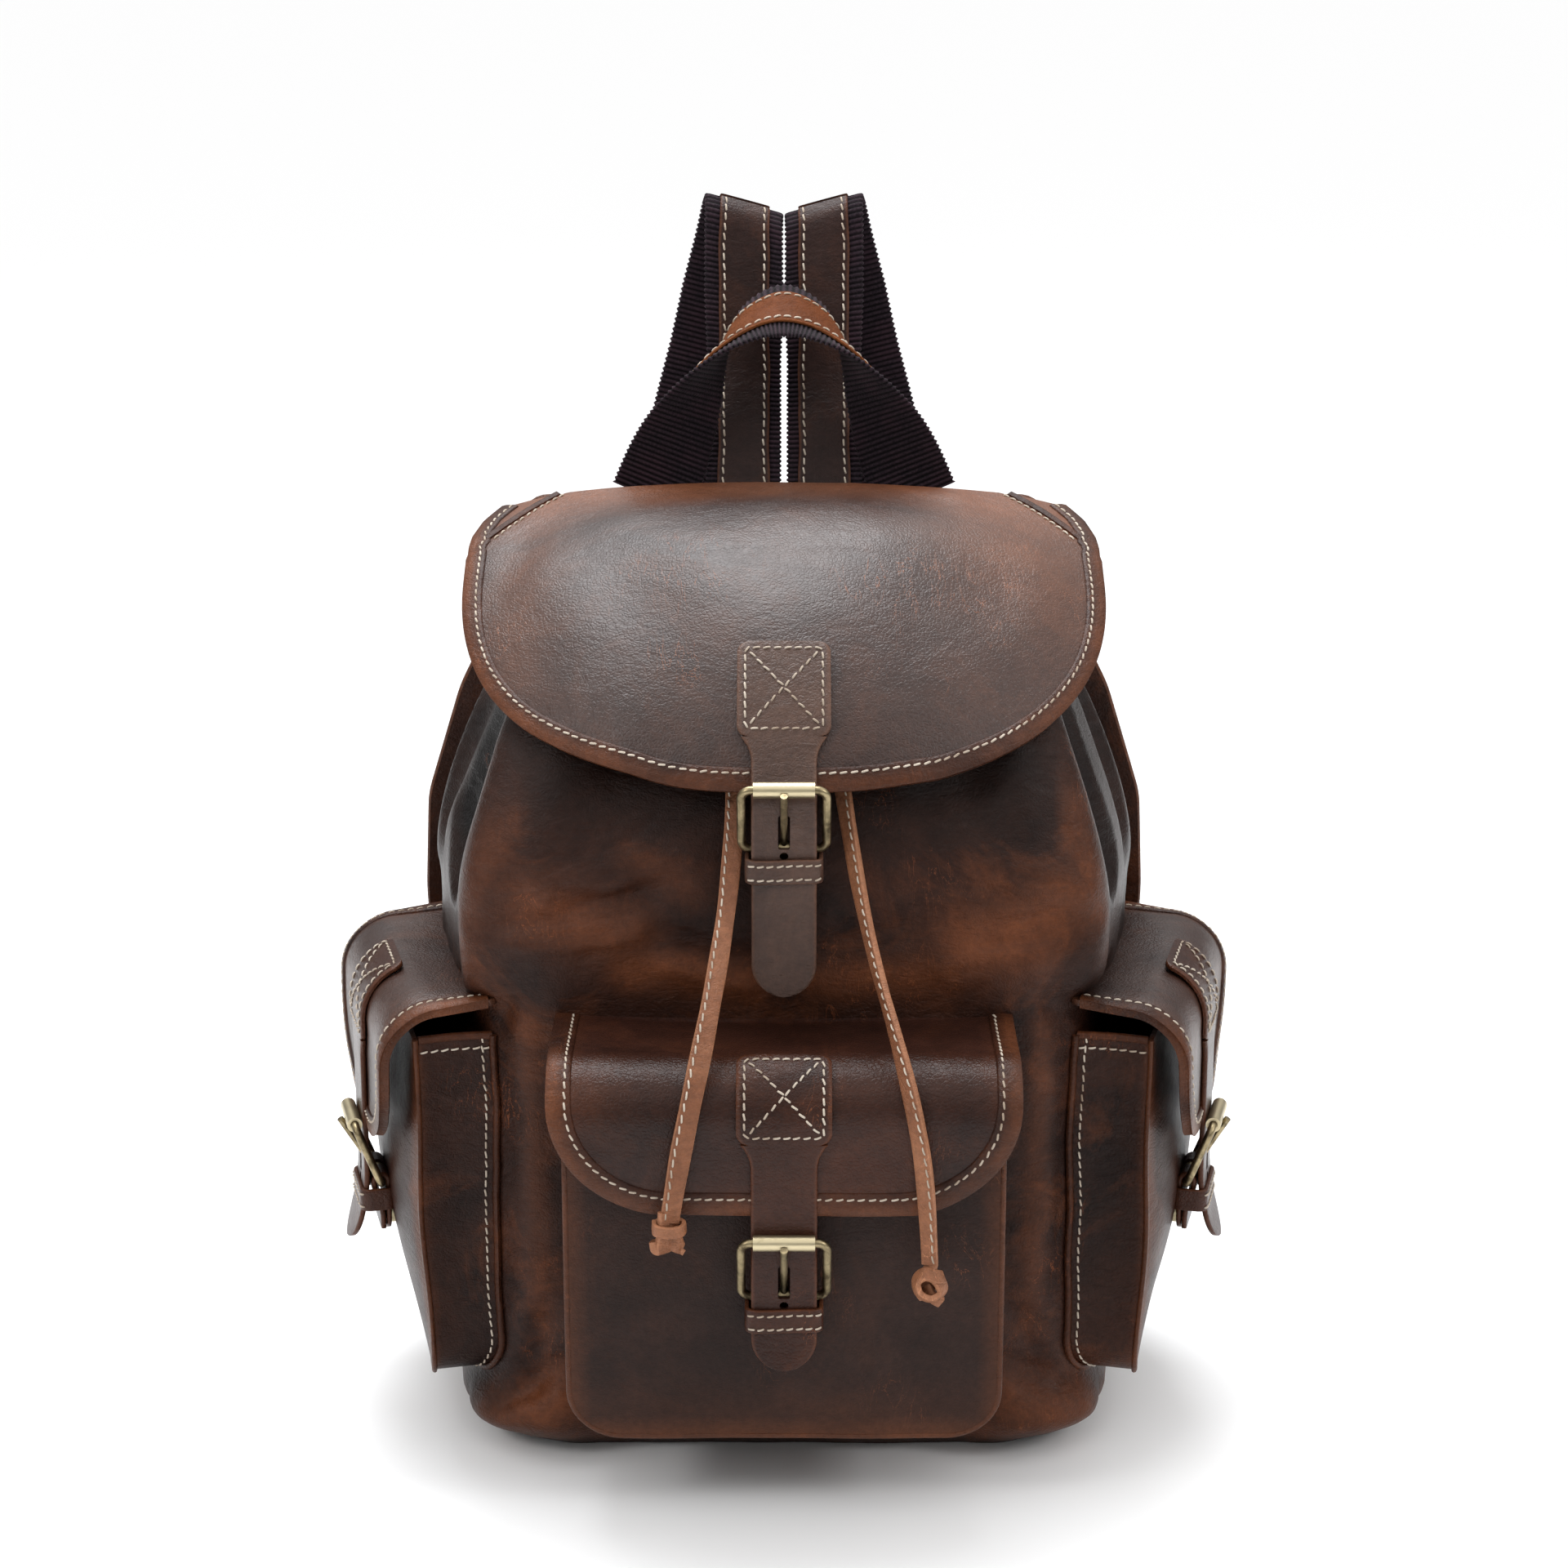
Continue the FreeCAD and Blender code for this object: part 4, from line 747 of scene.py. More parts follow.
def wrap_grid(inset=0.0, relief_share=1.0, heights=HEIGHTS):
    rows, unrolled = [], []
    for z in heights:
        line = half_outline(z, inset)
        s = np.concatenate([[0], np.cumsum(np.linalg.norm(np.diff(line, axis=0), axis=1))])
        at = np.linspace(0, s[-1], HALF + 1)
        half = np.stack([np.interp(at, s, line[:, 0]), np.interp(at, s, line[:, 1])], -1)
        row = np.vstack([half[:0:-1] * [-1, 1], half])
        rows.append(np.column_stack([row, np.full(len(row), z)]))
        unrolled.append(np.concatenate([-at[:0:-1], at]))
    grid, w = np.array(rows), np.array(unrolled)
    z = grid[:, :, 2]
    side = unit(np.gradient(grid, axis=1))
    out = np.stack([side[:, :, 1], -side[:, :, 0], np.zeros_like(z)], -1)
    relief = bag_relief(w, z) * relief_share
    fade = np.clip((np.abs(w).max(1, keepdims=True) - np.abs(w)) / 14, 0, 1)
    grid = grid + out * (relief * fade)[:, :, None]
    return grid, w


bag_grid, bag_w = wrap_grid()
bag_wear_and_shade = np.zeros(bag_w.shape)
for w0, z0, w1, z1, wide, amount in RUBBED_AND_LIT:
    bag_wear_and_shade = np.maximum(bag_wear_and_shade, amount * stroke(bag_w, bag_grid[:, :, 2], w0, z0, w1, z1, wide))
# painted shade: the recessed folds are darkened where shade falls in them
for w0, z0, w1, z1, first, last, height in FOLDS:
    if height < -4:
        bag_wear_and_shade -= 0.75 * stroke(bag_w, bag_grid[:, :, 2], w0, z0, w1, z1, first, last)
# painted shadow: the front under the lid is darkened where the lid shades it
bag_wear_and_shade -= 0.7 * np.clip((bag_grid[:, :, 2] - 256) / 34, 0, 1) * np.clip((118 - np.abs(bag_w)) / 20, 0, 1)
# painted shade: the bag's sides from about 190 mm up are darkened where they turn away from the light
bag_wear_and_shade -= 0.45 * np.clip((np.abs(bag_w) - 126) / 14, 0, 1) * np.clip((bag_grid[:, :, 2] - 190) / 20, 0, 1)
shell = sheet_mesh("bag_shell", bag_grid, 2.2, BAG, wear_and_shade=bag_wear_and_shade)
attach(shell, "bag")
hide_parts("body_wrap")
bag_faces = quads(*bag_grid.shape[:2])
bag_tree = BVHTree.FromPolygons(bag_grid.reshape(-1, 3).tolist(), bag_faces)

# lining, drawstring casing and base
lining_heights = np.unique(np.concatenate([[3.5, 6, 10], np.arange(14, 318, 6.0), [318]]))
lining_grid, _ = wrap_grid(3.4, 0.8, lining_heights)
lining = sheet_mesh("cloth_lining", lining_grid, 0.7, LINING)
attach(lining, "bag")
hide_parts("lining")
casing_heights = np.arange(313, 336.2, 1.6)
casing_grid, _ = wrap_grid(3.2, 1.0, casing_heights)
puff = 1.3 * np.sin(np.clip((casing_heights - 313) / 22, 0, 1) * math.pi)
casing_grid[:, :, :2] *= (1 - 0.012 * puff)[:, None, None]
casing = sheet_mesh("drawstring_casing", casing_grid, 1.9, STRAP)
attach(casing, "bag")
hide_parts("mouth_casing")
for seam_z in (316.5, 333.5):
    row, _ = wrap_grid(0.0, 1.0, [seam_z - 1, seam_z, seam_z + 1])
    stitch("bag_stitches", row[1, 6:-6], grid_normals(row)[1, 6:-6])

foot = resample(np.vstack([bag_grid[0], [[-120, BACK_Y, 0.6]]])[:, :2], step=3, closed=True)


def on_floor(flat):
    lift = 0.4 + 1.6 * np.clip(1 - np.hypot(flat[:, 0] / 118, flat[:, 1] / 64), 0, 1)
    place = np.column_stack([flat, lift])
    return place, np.tile([0.0, 0.0, -1.0], (len(flat), 1))


base = fan_sheet("base_leather", foot * 0.985 + [0, 0.6], on_floor, 2.4, BAG, rings=24)
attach(base, "bag")
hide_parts("base_panel")

# ---------------------------------------------------------------- back of the bag

BACK_OUTLINE = [
    (-123, 1), (123, 1), (141, 12), (148, 40), (155, 200), (153, 242), (138, 290), (114, 338), (108, 372),
    (-108, 372), (-114, 338), (-138, 290), (-153, 242), (-155, 200), (-148, 40), (-141, 12),
]
BACK_RADII = [14, 14, 12, 60, 120, 40, 60, 40, 10, 10, 40, 60, 40, 120, 60, 12]


def back_face(flat):
    """The back panel's outer face: softly padded between its edges, with two quilted channels."""
    x, z = flat[:, 0], flat[:, 1]
    half = np.interp(z, [0, 40, 200, 242, 290, 338, 372], [128, 148, 155, 153, 138, 114, 108])
    edge = np.clip(1 - np.abs(x) / half, 0, 1)
    pad = 2.6 * np.clip(edge * 5, 0, 1) * np.clip(z / 30, 0, 1) * np.clip((290 - z) / 26, 0, 1)
    channel = np.exp(-(((x - 52) / 4) ** 2)) + np.exp(-(((x + 52) / 4) ** 2))
    pad = pad * (1 - 0.75 * channel * np.clip((282 - z) / 20, 0, 1))
    y = BACK_Y - 0.4 + pad
    normal = np.tile([0.0, 1.0, 0.0], (len(flat), 1))
    return np.column_stack([x, y, z]), normal


back_outline = rounded(BACK_OUTLINE, BACK_RADII, step=2.5)
back_panel = fan_sheet("padded_back", back_outline, back_face, 3.2, BAG, rings=60, centre=(0, 180),
                       wear_and_shade=lambda p: 0.25 * np.clip(np.abs(p[:, 0]) / 150 - 0.8, 0, 1) * 5)
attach(back_panel, "bag")
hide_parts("back_panel")

rim_line = np.column_stack([back_outline[:, 0], np.full(len(back_outline), BACK_Y - 0.6), back_outline[:, 1]])
side = inward(back_outline)
piping_rows = []
for angle in np.linspace(0, 2 * math.pi, 12, endpoint=False):
    step_in = 1.0 - 2.3 * math.cos(angle)
    level = np.full(len(side), 2.2 * math.sin(angle))
    piping_rows.append(rim_line + np.column_stack([side[:, 0] * step_in, level, side[:, 1] * step_in]))
piping = loft("back_piping", np.stack(piping_rows, 1), BINDING, closed=True,
              wear_and_shade=np.full((len(rim_line), 12), 0.35))
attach(piping, "bag")
seam_line, seam_normal = back_face(back_outline + side * 6.5)
stitch("bag_stitches", seam_line, seam_normal, closed=True)
for x in (-52, 52):
    line, normal = back_face(np.column_stack([np.full(120, float(x)), np.linspace(12, 268, 120)]))
    stitch("bag_stitches", line, normal)

yoke_outline = rounded([(-75, 290), (75, 290), (75, 368), (-75, 368)], [8, 8, 8, 8], step=2)


def on_yoke(flat):
    swell = 0.5 * np.cos(flat[:, 0] / 24) * np.cos((flat[:, 1] - 329) / 28)
    return (np.column_stack([flat[:, 0], BACK_Y + 2.5 + swell, flat[:, 1]]),
            np.tile([0.0, 1.0, 0.0], (len(flat), 1)))


def yoke_rub(flat):
    to_edge = np.maximum(np.abs(flat[:, 0]) / 75, np.abs(flat[:, 1] - 329) / 39)
    return np.clip((to_edge - 0.9) * 8, 0, 0.7)


yoke = fan_sheet("strap_yoke_leather", yoke_outline, on_yoke, 2.3, STRAP, rings=26, wear_and_shade=yoke_rub)
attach(yoke, "bag")
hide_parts("strap_yoke")
for gap in (4, 8):
    line, normal = on_yoke(yoke_outline + inward(yoke_outline) * gap)
    stitch("bag_stitches", line, normal, closed=True)

# ---------------------------------------------------------------- lid

LID_SQUARENESS, LID_HALF, LID_REACH, LID_MID = 2.3, 129.5, 100.0, 5.0
LID_TOP, LID_RADIUS, LID_RIDGE_Y, LID_HINGE_Y, LID_THICK = 380.0, 140.0, 36.0, 60.0, 2.6
LID_DENTS = [
    # x, y to x, y, half-width, height
    (-62, -38, -34, -66, 20, -3.0), (-96, -8, -78, -40, 16, 1.6), (-30, -24, -62, 8, 18, 1.4),
    (52, -50, 84, -30, 20, -1.6), (40, -8, 84, 6, 20, 1.5), (-52, 44, -8, 40, 12, -1.3),
    (96, -36, 104, -6, 12, 1.2), (-104, 24, -112, -8, 10, -1.3), (30, 50, 70, 46, 10, 1.0),
    (-84, -66, -60, -82, 10, 1.2), (60, -84, 90, -62, 10, -1.0),
]
DART = (122.0, 30.0, 93.0, 62.0)


def lid_height(x, y):
    ahead = np.minimum(y - LID_RIDGE_Y, 0)
    ridge = LID_TOP - LID_RADIUS + np.sqrt(np.maximum(LID_RADIUS**2 - ahead**2, 100))
    height = ridge - (0.0006 + 0.00002 * (LID_HINGE_Y - y)) * x**2
    calm = 1 - np.exp(-((x / 26) ** 2)) * (y < -20)
    for x0, y0, x1, y1, wide, lift in LID_DENTS:
        height = height + lift * calm * stroke(x, y, x0, y0, x1, y1, wide)
    x0, y0, x1, y1 = DART
    beyond = ((np.abs(x) - x0) * (y1 - y0) + (y - y0) * (x0 - x1)) / math.hypot(x1 - x0, y1 - y0)
    height = height - 0.16 * np.clip(beyond, 0, 40) - 1.1 * np.exp(-((beyond / 1.6) ** 2))
    return height + 0.7 * np.sin(x / 31 + 0.6) * np.sin(y / 23 + 1.3) * calm


def on_lid(flat):
    x, y = flat[:, 0], flat[:, 1]
    h = 0.4
    z = lid_height(x, y)
    dx = (lid_height(x + h, y) - lid_height(x - h, y)) / (2 * h)
    dy = (lid_height(x, y + h) - lid_height(x, y - h)) / (2 * h)
    return np.column_stack([x, y, z]), unit(np.column_stack([-dx, -dy, np.ones_like(x)]))


angles = np.linspace(math.pi, 0, 240)
front_run = np.column_stack([
    LID_HALF * np.sign(np.cos(angles)) * np.abs(np.cos(angles)) ** (2 / LID_SQUARENESS),
    LID_MID - LID_REACH * np.sin(angles) ** (2 / LID_SQUARENESS),
])
corner = [(LID_HALF, 20), (LID_HALF - 1.0, 36), (LID_HALF - 4.5, 49), (LID_HALF - 11, LID_HINGE_Y)]
lid_front = resample(np.vstack([[(-x, y) for x, y in reversed(corner)], front_run, corner]), step=2.2)
lid_outline = np.vstack([lid_front[:-1], resample([lid_front[-1], lid_front[0]], step=2.2)[:-1]])


def lid_rub(flat):
    x, y = flat[:, 0], flat[:, 1]
    rear = np.clip((y - 18) / 34, 0, 1) * 0.8
    right = 0.6 * np.exp(-(((x - 96) / 34) ** 2) - (((y - 8) / 40) ** 2))
    left = 0.3 * np.exp(-(((x + 104) / 16) ** 2) - (((y + 10) / 50) ** 2))
    return np.clip(rear + right + left, 0, 0.8)


lid = fan_sheet("lid_leather", lid_outline, on_lid, LID_THICK, LID, rings=86, centre=(0, 8), wear_and_shade=lid_rub)
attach(lid, "lid")
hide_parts("lid_panel")
lid_side = inward(lid_front, closed=False)
lid_steep = steepness(lid_front, lid_side, on_lid)
lid_roll = binding("lid_rim", lid_front, on_lid, 8.4, LID_THICK, wear_and_shade=0.8, stretch=lid_steep)
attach(lid_roll, "lid")
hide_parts("lid_binding")
line, normal = on_lid(lid_front + lid_side * 6.0 / lid_steep)
stitch("lid_stitches", line + normal * 1.0, normal)
line, normal = on_lid(lid_front + lid_side * 5.0 / lid_steep)
stitch("lid_stitches", line - normal * (LID_THICK + 1.1), -normal)
for side_sign in (-1, 1):
    x0, y0, x1, y1 = DART
    track_x, track_y = np.linspace(x0 - 2.4, x1 - 1, 30), np.linspace(y0 - 2.6, y1 - 4, 30)
    line, normal = on_lid(np.column_stack([side_sign * track_x, track_y]))
    stitch("lid_stitches", line, normal)
    seam = np.column_stack([side_sign * np.linspace(x0 + 0.6, x1 + 2, 30), np.linspace(y0 + 0.4, y1 - 1, 30)])
    centre, out = on_lid(seam)
    along = unit(np.gradient(centre, axis=0))
    dart = loft("dart_fold_" + ("left" if side_sign < 0 else "right"),
                band_sections(centre + out * 0.35, unit(np.cross(out, along)), out, 2.6, 1.8), BAG,
                wear_and_shade=edge_wear(len(seam), 0.3, 0.1))
    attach(dart, "lid")

# the strip that joins the lid to the back panel
hinge_path = np.array([
    (70.9, 351), (71.0, 360), (70.7, 366.5), (69.4, 371.8), (67, 375.6), (63.8, 378.2), (60.6, 379.4),
    (57, 379.2),
], float)
hinge_profile = resample(hinge_path, count=26)
wide_x = np.linspace(-101, 101, 90)
hinge_grid = np.zeros((26, 90, 3))
hinge_grid[:, :, 0] = wide_x
for row, (y, z) in enumerate(hinge_profile):
    fall = np.clip((z - 372) / 8, 0, 1)
    hinge_grid[row, :, 1] = y
    hinge_grid[row, :, 2] = z - fall * (LID_TOP - lid_height(wide_x, np.full(90, min(y, 60.0))))
hinge = sheet_mesh("lid_hinge_strip", hinge_grid, 1.4, BAG, flip=True,
                   wear_and_shade=np.tile(np.linspace(0.1, 0.6, 26)[:, None], (1, 90)))
outward(hinge)
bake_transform(hinge)

# ---------------------------------------------------------------- pockets

SIDE_TURN = math.radians(76)
# each pocket's turn about the vertical and the middle of its foot, on the bag
PLACES = {
    "front": (0.0, (0, -84, 37)),
    "left": (-SIDE_TURN, (-131, -15, 33)),
    "right": (SIDE_TURN, (131, -15, 33)),
}
# width, height, depth, the flap's rise over the pocket, its drop and its overhang at each side
SIZES = {"front": (167.0, 145.0, 50.0, 13.0, 57.0, 5.5), "side": (122.0, 150.0, 30.0, 16.0, 68.0, 3.0)}
FLAP_GAP, BEND_R, FLAP_THICK, POCKET_SKIN, TIP_ROUND = 14.2, 22.0, 2.6, 2.0, 46
# a buckle's roller: out from its pocket's face, and below its pocket's top
ROLLER_OUT, ROLLER_DOWN = 15.5, 53.0


def to_world(points, place):
    turn, at = PLACES[place]
    c, s = math.cos(turn), math.sin(turn)
    p = np.asarray(points, float)
    return np.stack([p[..., 0] * c - p[..., 1] * s, p[..., 0] * s + p[..., 1] * c, p[..., 2]], -1) + at


def turned(vectors, place):
    c, s = math.cos(PLACES[place][0]), math.sin(PLACES[place][0])
    v = np.asarray(vectors, float)
    return np.stack([v[..., 0] * c - v[..., 1] * s, v[..., 0] * s + v[..., 1] * c, v[..., 2]], -1)


def bag_face(points, place):
    """Where lines towards the bag, from points in a pocket's frame, meet the bag: their y there."""
    way = Vector(turned(np.array([0.0, 1.0, 0.0]), place))
    found = []
    for p in to_world(points, place):
        hit = bag_tree.ray_cast(Vector(p), way, 150)
        found.append(hit[3] if hit[0] is not None else np.nan)
    found = np.array(found)
    if np.isnan(found).all():
        return np.zeros(len(found))
    good = ~np.isnan(found)
    found = np.interp(np.arange(len(found)), np.flatnonzero(good), found[good])
    return np.asarray(points)[:, 1] + found


def soft_box(points, place):
    """Sags a box pocket: its foot tucks in towards the bag, most at the rear, and its walls are uneven."""
    kind = "front" if place == "front" else "side"
    rear = {"front": 0, "left": -1, "right": 1}[place]
    width, height, depth = SIZES[kind][:3]
    x, y, z = points[..., 0], points[..., 1], points[..., 2]
    out = np.clip(-y / depth, 0, 1.2)
    low = np.clip(1 - z / (78 if kind == "side" else 40), 0, 1)
    tuck = (3.5 + (13 * np.clip(0.5 + rear * x / width, 0, 1) if rear else 0)) * low**1.6 * out
    swell = (6.5 if kind == "side" else 1.5) * np.clip(np.sin(np.clip(z / height, 0, 1) * math.pi), 0, 1)
    swell = swell * np.clip(1 - (2 * x / width) ** 4, 0, 1) * np.clip((out - 0.9) * 10, 0, 1)
    calm = 1 - np.exp(-((x / 22) ** 2))
    wave = 0.9 * np.sin(z / 19 + x / 27 + 1) * np.sin(x / 22 - z / 41) * calm
    dip = 1.8 * np.sin(np.clip(out, 0, 1) * math.pi) * np.clip(z / 30, 0, 1)
    x = x - np.sign(x) * dip * np.clip((np.abs(x) / (width / 2) - 0.85) * 6, 0, 1)
    return np.stack([x, y + tuck - (swell + wave) * np.clip((out - 0.5) * 2, 0, 1), z], -1)


def pocket(place, kind):
    """A box pocket's gusset, face, seams and stitching."""
    width, height, depth = SIZES[kind][:3]
    half = width / 2
    outer = PANEL if kind == "front" else BAG
    corners = [(-half, height), (-half, 0), (half, 0), (half, height)]
    rim = rounded(corners, [0, 20, 20, 0], step=2.2, closed=False)
    rim_side = -inward(rim, closed=False)

    face_outline = rounded([(-half, 0), (half, 0), (half, height), (-half, height)], [20, 20, 2, 2], step=2.2)

    def on_face(flat):
        p = np.column_stack([flat[:, 0], np.full(len(flat), -depth), flat[:, 1]])
        q = soft_box(p, place)
        return to_world(q, place), turned(np.tile([0.0, -1.0, 0.0], (len(flat), 1)), place)

    def face_rub(flat):
        near = np.minimum(half - np.abs(flat[:, 0]), flat[:, 1])
        return np.clip(1 - near / 9, 0, 1) * 0.6 + 0.25 * np.clip(1 - flat[:, 1] / 30, 0, 1)

    face = fan_sheet(place + "_pocket_face", face_outline, on_face, POCKET_SKIN, outer, rings=50,
                     wear_and_shade=face_rub)
    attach(face, "bag")
    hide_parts(place + "_pocket_panel")

    start = np.column_stack([rim[:, 0], np.full(len(rim), -depth), rim[:, 1]])
    reach = bag_face(start, place)
    steps = 22
    share = np.linspace(0, 1, steps)
    grid = np.zeros((len(rim), steps, 3))
    grid[:, :, 0], grid[:, :, 2] = rim[:, :1], rim[:, 1:]
    grid[:, :, 1] = -depth + 0.4 + share * (reach[:, None] + 2.6 + depth)
    grid = to_world(soft_box(grid, place), place)
    worn = 0.55 * np.exp(-((share / 0.07) ** 2)) + 0.35 * np.exp(-(((share - 1) / 0.1) ** 2))
    wear_and_shade = np.tile(worn, (len(rim), 1))
    gusset = sheet_mesh(place + "_pocket_gusset_leather", grid, POCKET_SKIN, BAG, wear_and_shade=wear_and_shade)
    outward(gusset)
    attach(gusset, "bag")
    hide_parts(place + "_pocket_gusset")

    def edge_tube(name, at_y, out_by, radius, material, worn):
        ring = np.linspace(0, 2 * math.pi, 8, endpoint=False)
        rows = []
        for angle in ring:
            across = out_by + radius * math.cos(angle)
            p = np.column_stack([rim[:, 0] + rim_side[:, 0] * across, at_y + radius * math.sin(angle),
                                 rim[:, 1] + rim_side[:, 1] * across])
            rows.append(to_world(soft_box(p, place), place))
        tube = loft(name, np.stack(rows, 1), material, wear_and_shade=np.full((len(rim), 8), worn))
        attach(tube, "bag")

    edge_tube(place + "_pocket_face_seam", np.full(len(rim), -depth + 0.7), 0.15, 1.25, BINDING, 0.35)
    edge_tube(place + "_pocket_bag_seam", reach - 0.6, 1.2, 1.5, BAG, 0.2)

    beside_bag = np.column_stack([rim[:, 0], reach - 4.6, rim[:, 1]])
    wall_normal = turned(np.column_stack([rim_side[:, 0], np.zeros(len(rim)), rim_side[:, 1]]), place)
    stitch("bag_stitches", to_world(soft_box(beside_bag, place), place), wall_normal)
    hem = 5.5
    for side_sign in (-1, 1):
        count = 24
        y = np.linspace(-depth + 2, np.interp(side_sign, [-1, 1], [reach[0], reach[-1]]) - 1, count)
        p = np.column_stack([np.full(count, side_sign * half), y, np.full(count, height - hem)])
        q = to_world(soft_box(p, place), place)
        n = turned(np.tile([float(side_sign), 0.0, 0.0], (count, 1)), place)
        stitch("bag_stitches", q + n * 0.2, n)
        ring = np.linspace(0, 2 * math.pi, 10, endpoint=False)
        rows = []
        for angle in ring:
            p = np.column_stack([np.full(count, side_sign * (half - 0.9 + 1.9 * math.cos(angle))), y,
                                 np.full(count, height - 0.6 + 1.7 * math.sin(angle))])
            rows.append(to_world(soft_box(p, place), place))
        roll = loft(place + "_pocket_hem_" + ("a" if side_sign < 0 else "b"), np.stack(rows, 1), BAG,
                    wear_and_shade=np.full((count, 10), 0.25))
        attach(roll, "bag")


def bent_profile(kind, outside, first, bottom):
    """A line over a pocket's flap: level, round the bend and hanging. Rows of y, z and outward y, z."""
    _, height, depth, rise = SIZES[kind][:4]
    face_y, top = -(depth + FLAP_GAP), height + rise
    centre_y, centre_z, radius = face_y + BEND_R, top - BEND_R, BEND_R + outside
    rows = []
    if first is None:
        for y in np.linspace(3.0, centre_y, 22, endpoint=False):
            rows.append((y, top + outside, 0, 1))
        first = 0.0
    for angle in np.radians(np.linspace(first, 90, 26)):
        rows.append((centre_y - radius * math.sin(angle), centre_z + radius * math.cos(angle),
                     -math.sin(angle), math.cos(angle)))
    for z in np.linspace(centre_z, bottom, 30)[1:]:
        rows.append((face_y - outside, z, -1, 0))
    return np.array(rows)


def run_length(profile):
    return np.concatenate([[0], np.cumsum(np.hypot(np.diff(profile[:, 0]), np.diff(profile[:, 1])))])


def flap(place, kind, body):
    width, height, _, rise, drop, overhang = SIZES[kind]
    half, top = width / 2 + overhang, height + rise
    profile = bent_profile(kind, 0.0, None, top - drop)
    s = run_length(profile)
    long = s[-1]
    outline = rounded([(-half, long), (-half, 0), (half, 0), (half, long)], [TIP_ROUND, 3, 3, TIP_ROUND],
                      step=2.2)

    def on_flap(flat):
        x, run = flat[:, 0], flat[:, 1]
        y, z, ny, nz = (np.interp(run, s, profile[:, k]) for k in range(4))
        level = np.clip(1 - run / 46, 0, 1)
        sag = (3.4 if kind == "front" else 4.0) * level * (1 - (x / half) ** 2) * np.clip(run / 5, 0, 1)
        rim = np.clip(np.abs(x) / half - 0.7, 0, 1)
        droop = 46.0 if kind == "side" else 11.0
        wave = 0.9 * np.sin(x / 21 + 0.5) * np.sin(run / 17) * (1 - np.exp(-((x / 24) ** 2)))
        tip = np.clip((run - 92) / 20, 0, 1) * 1.2 * np.sin(x / 26 + 1.1) * (1 - np.exp(-((x / 24) ** 2)))
        lower = np.clip(run / 40, 0, 1)
        p = np.column_stack([x, y + ny * (wave + tip), z - sag - droop * rim**2 * lower + nz * wave])
        normal = np.column_stack([np.sign(x) * nz * 2 * droop * rim / half * lower, ny, nz])
        return to_world(p, place), turned(unit(normal), place)

    def flap_rub(flat):
        near = np.minimum(half - np.abs(flat[:, 0]), long - flat[:, 1])
        bend = 0.3 * np.exp(-(((flat[:, 1] - 60) / 12) ** 2))
        return np.clip(np.clip(1 - near / 14, 0, 1) * 0.35 + bend * 0.4, 0, 0.7)

    piece = fan_sheet(place + "_flap_leather", outline, on_flap, FLAP_THICK, FLAP if kind == "front" else LID,
                      rings=60, centre=(0, long * 0.5), wear_and_shade=flap_rub)
    open_corners = [(-half, 4), (-half, long), (half, long), (half, 4)]
    open_run = rounded(open_corners, [0, TIP_ROUND, TIP_ROUND, 0], step=2.2, closed=False)[::-1]
    wide = 9.0 if kind == "front" else 7.5
    roll = binding(place + "_flap_rim", open_run, on_flap, wide, FLAP_THICK, wear_and_shade=0.75)
    hinge_at, hinge_to = to_world([(0, -1, top), (0, -16, top)], place) * MM
    for obj in (piece, roll):
        tuple(hinge_at)
        tuple(hinge_to)
        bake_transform(obj)
    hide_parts(place + "_pocket_flap")
    line, normal = on_flap(open_run + inward(open_run, False) * (wide - 2.3))
    stitch(body + "_stitches", line + normal * 0.95, normal)


# ---------------------------------------------------------------- buckle straps

KEEPER_LOW, KEEPER_TALL = -37.8, 9.5
BAR_LOW = (5.5, -26.0)
# how far a strap's tail hangs below its roller, and how far its outer face stands off the flap's
TAIL_LONG = {"lid": 83.0, "front": 53.0, "left": 53.0, "right": 53.0}
STRAP_PROUD = 2.5


def cut(obj, name, verts, faces):
    """Takes a closed cutter out of a piece."""
    cutter = mesh_object(name, verts, faces, STRAP)
    outward(cutter)
    change = obj.modifiers.new("cut", "BOOLEAN")
    change.object, change.operation, change.solver = cutter, "DIFFERENCE", "EXACT"
    bpy.context.view_layer.update()
    result = bpy.data.meshes.new_from_object(obj.evaluated_get(bpy.context.evaluated_depsgraph_get()))
    obj.modifiers.clear()
    old, name = obj.data, obj.data.name
    obj.data = result
    bpy.data.meshes.remove(old)
    result.name = name
    result.set_sharp_from_angle(angle=math.radians(50))
    bpy.data.objects.remove(cutter)
    return obj


def prism(outline, near, far, spot):
    """A closed prism along a fastening's y from an outline in x and z."""
    n = len(outline)
    local = [(x, y, z) for y in (near, far) for x, z in outline]
    faces = [list(range(n))[::-1], [n + k for k in range(n)]]
    faces += [[k, (k + 1) % n, n + (k + 1) % n, n + k] for k in range(n)]
    return spot(np.array(local, float)), faces


def circle(radius, x, z, count=20):
    return [(x + radius * math.cos(a), z + radius * math.sin(a))
            for a in np.linspace(0, 2 * math.pi, count, endpoint=False)]


def strap_width(s, patch_start, patch_end, total):
    """The strap's width along its length: a sewn patch, hollow shoulders, then the tail and its round tip."""
    width = np.full_like(s, 25.0)
    shoulder = np.clip((s - patch_end) / 11.0, 0, 1)
    width = np.where(s < patch_end + 11, 25 + 8.0 * (1 - shoulder) ** 2.4, width)
    width = np.where(s <= patch_end, 36.0, width)
    for corner_at, way in ((patch_start, 1), (patch_end, -1)):
        near = np.clip((s - corner_at) * way, 0, 4.5)
        bite = 4.5 - np.sqrt(np.maximum(4.5**2 - (4.5 - near) ** 2, 0))
        inside = (s >= patch_start) & (s <= patch_end)
        width = np.where(inside, width - 2 * bite, width)
    left = np.clip(total - s, 0, 12.5)
    return np.where(left < 12.5, 2 * np.sqrt(np.maximum(12.5**2 - (12.5 - left) ** 2, 0.6)), width)


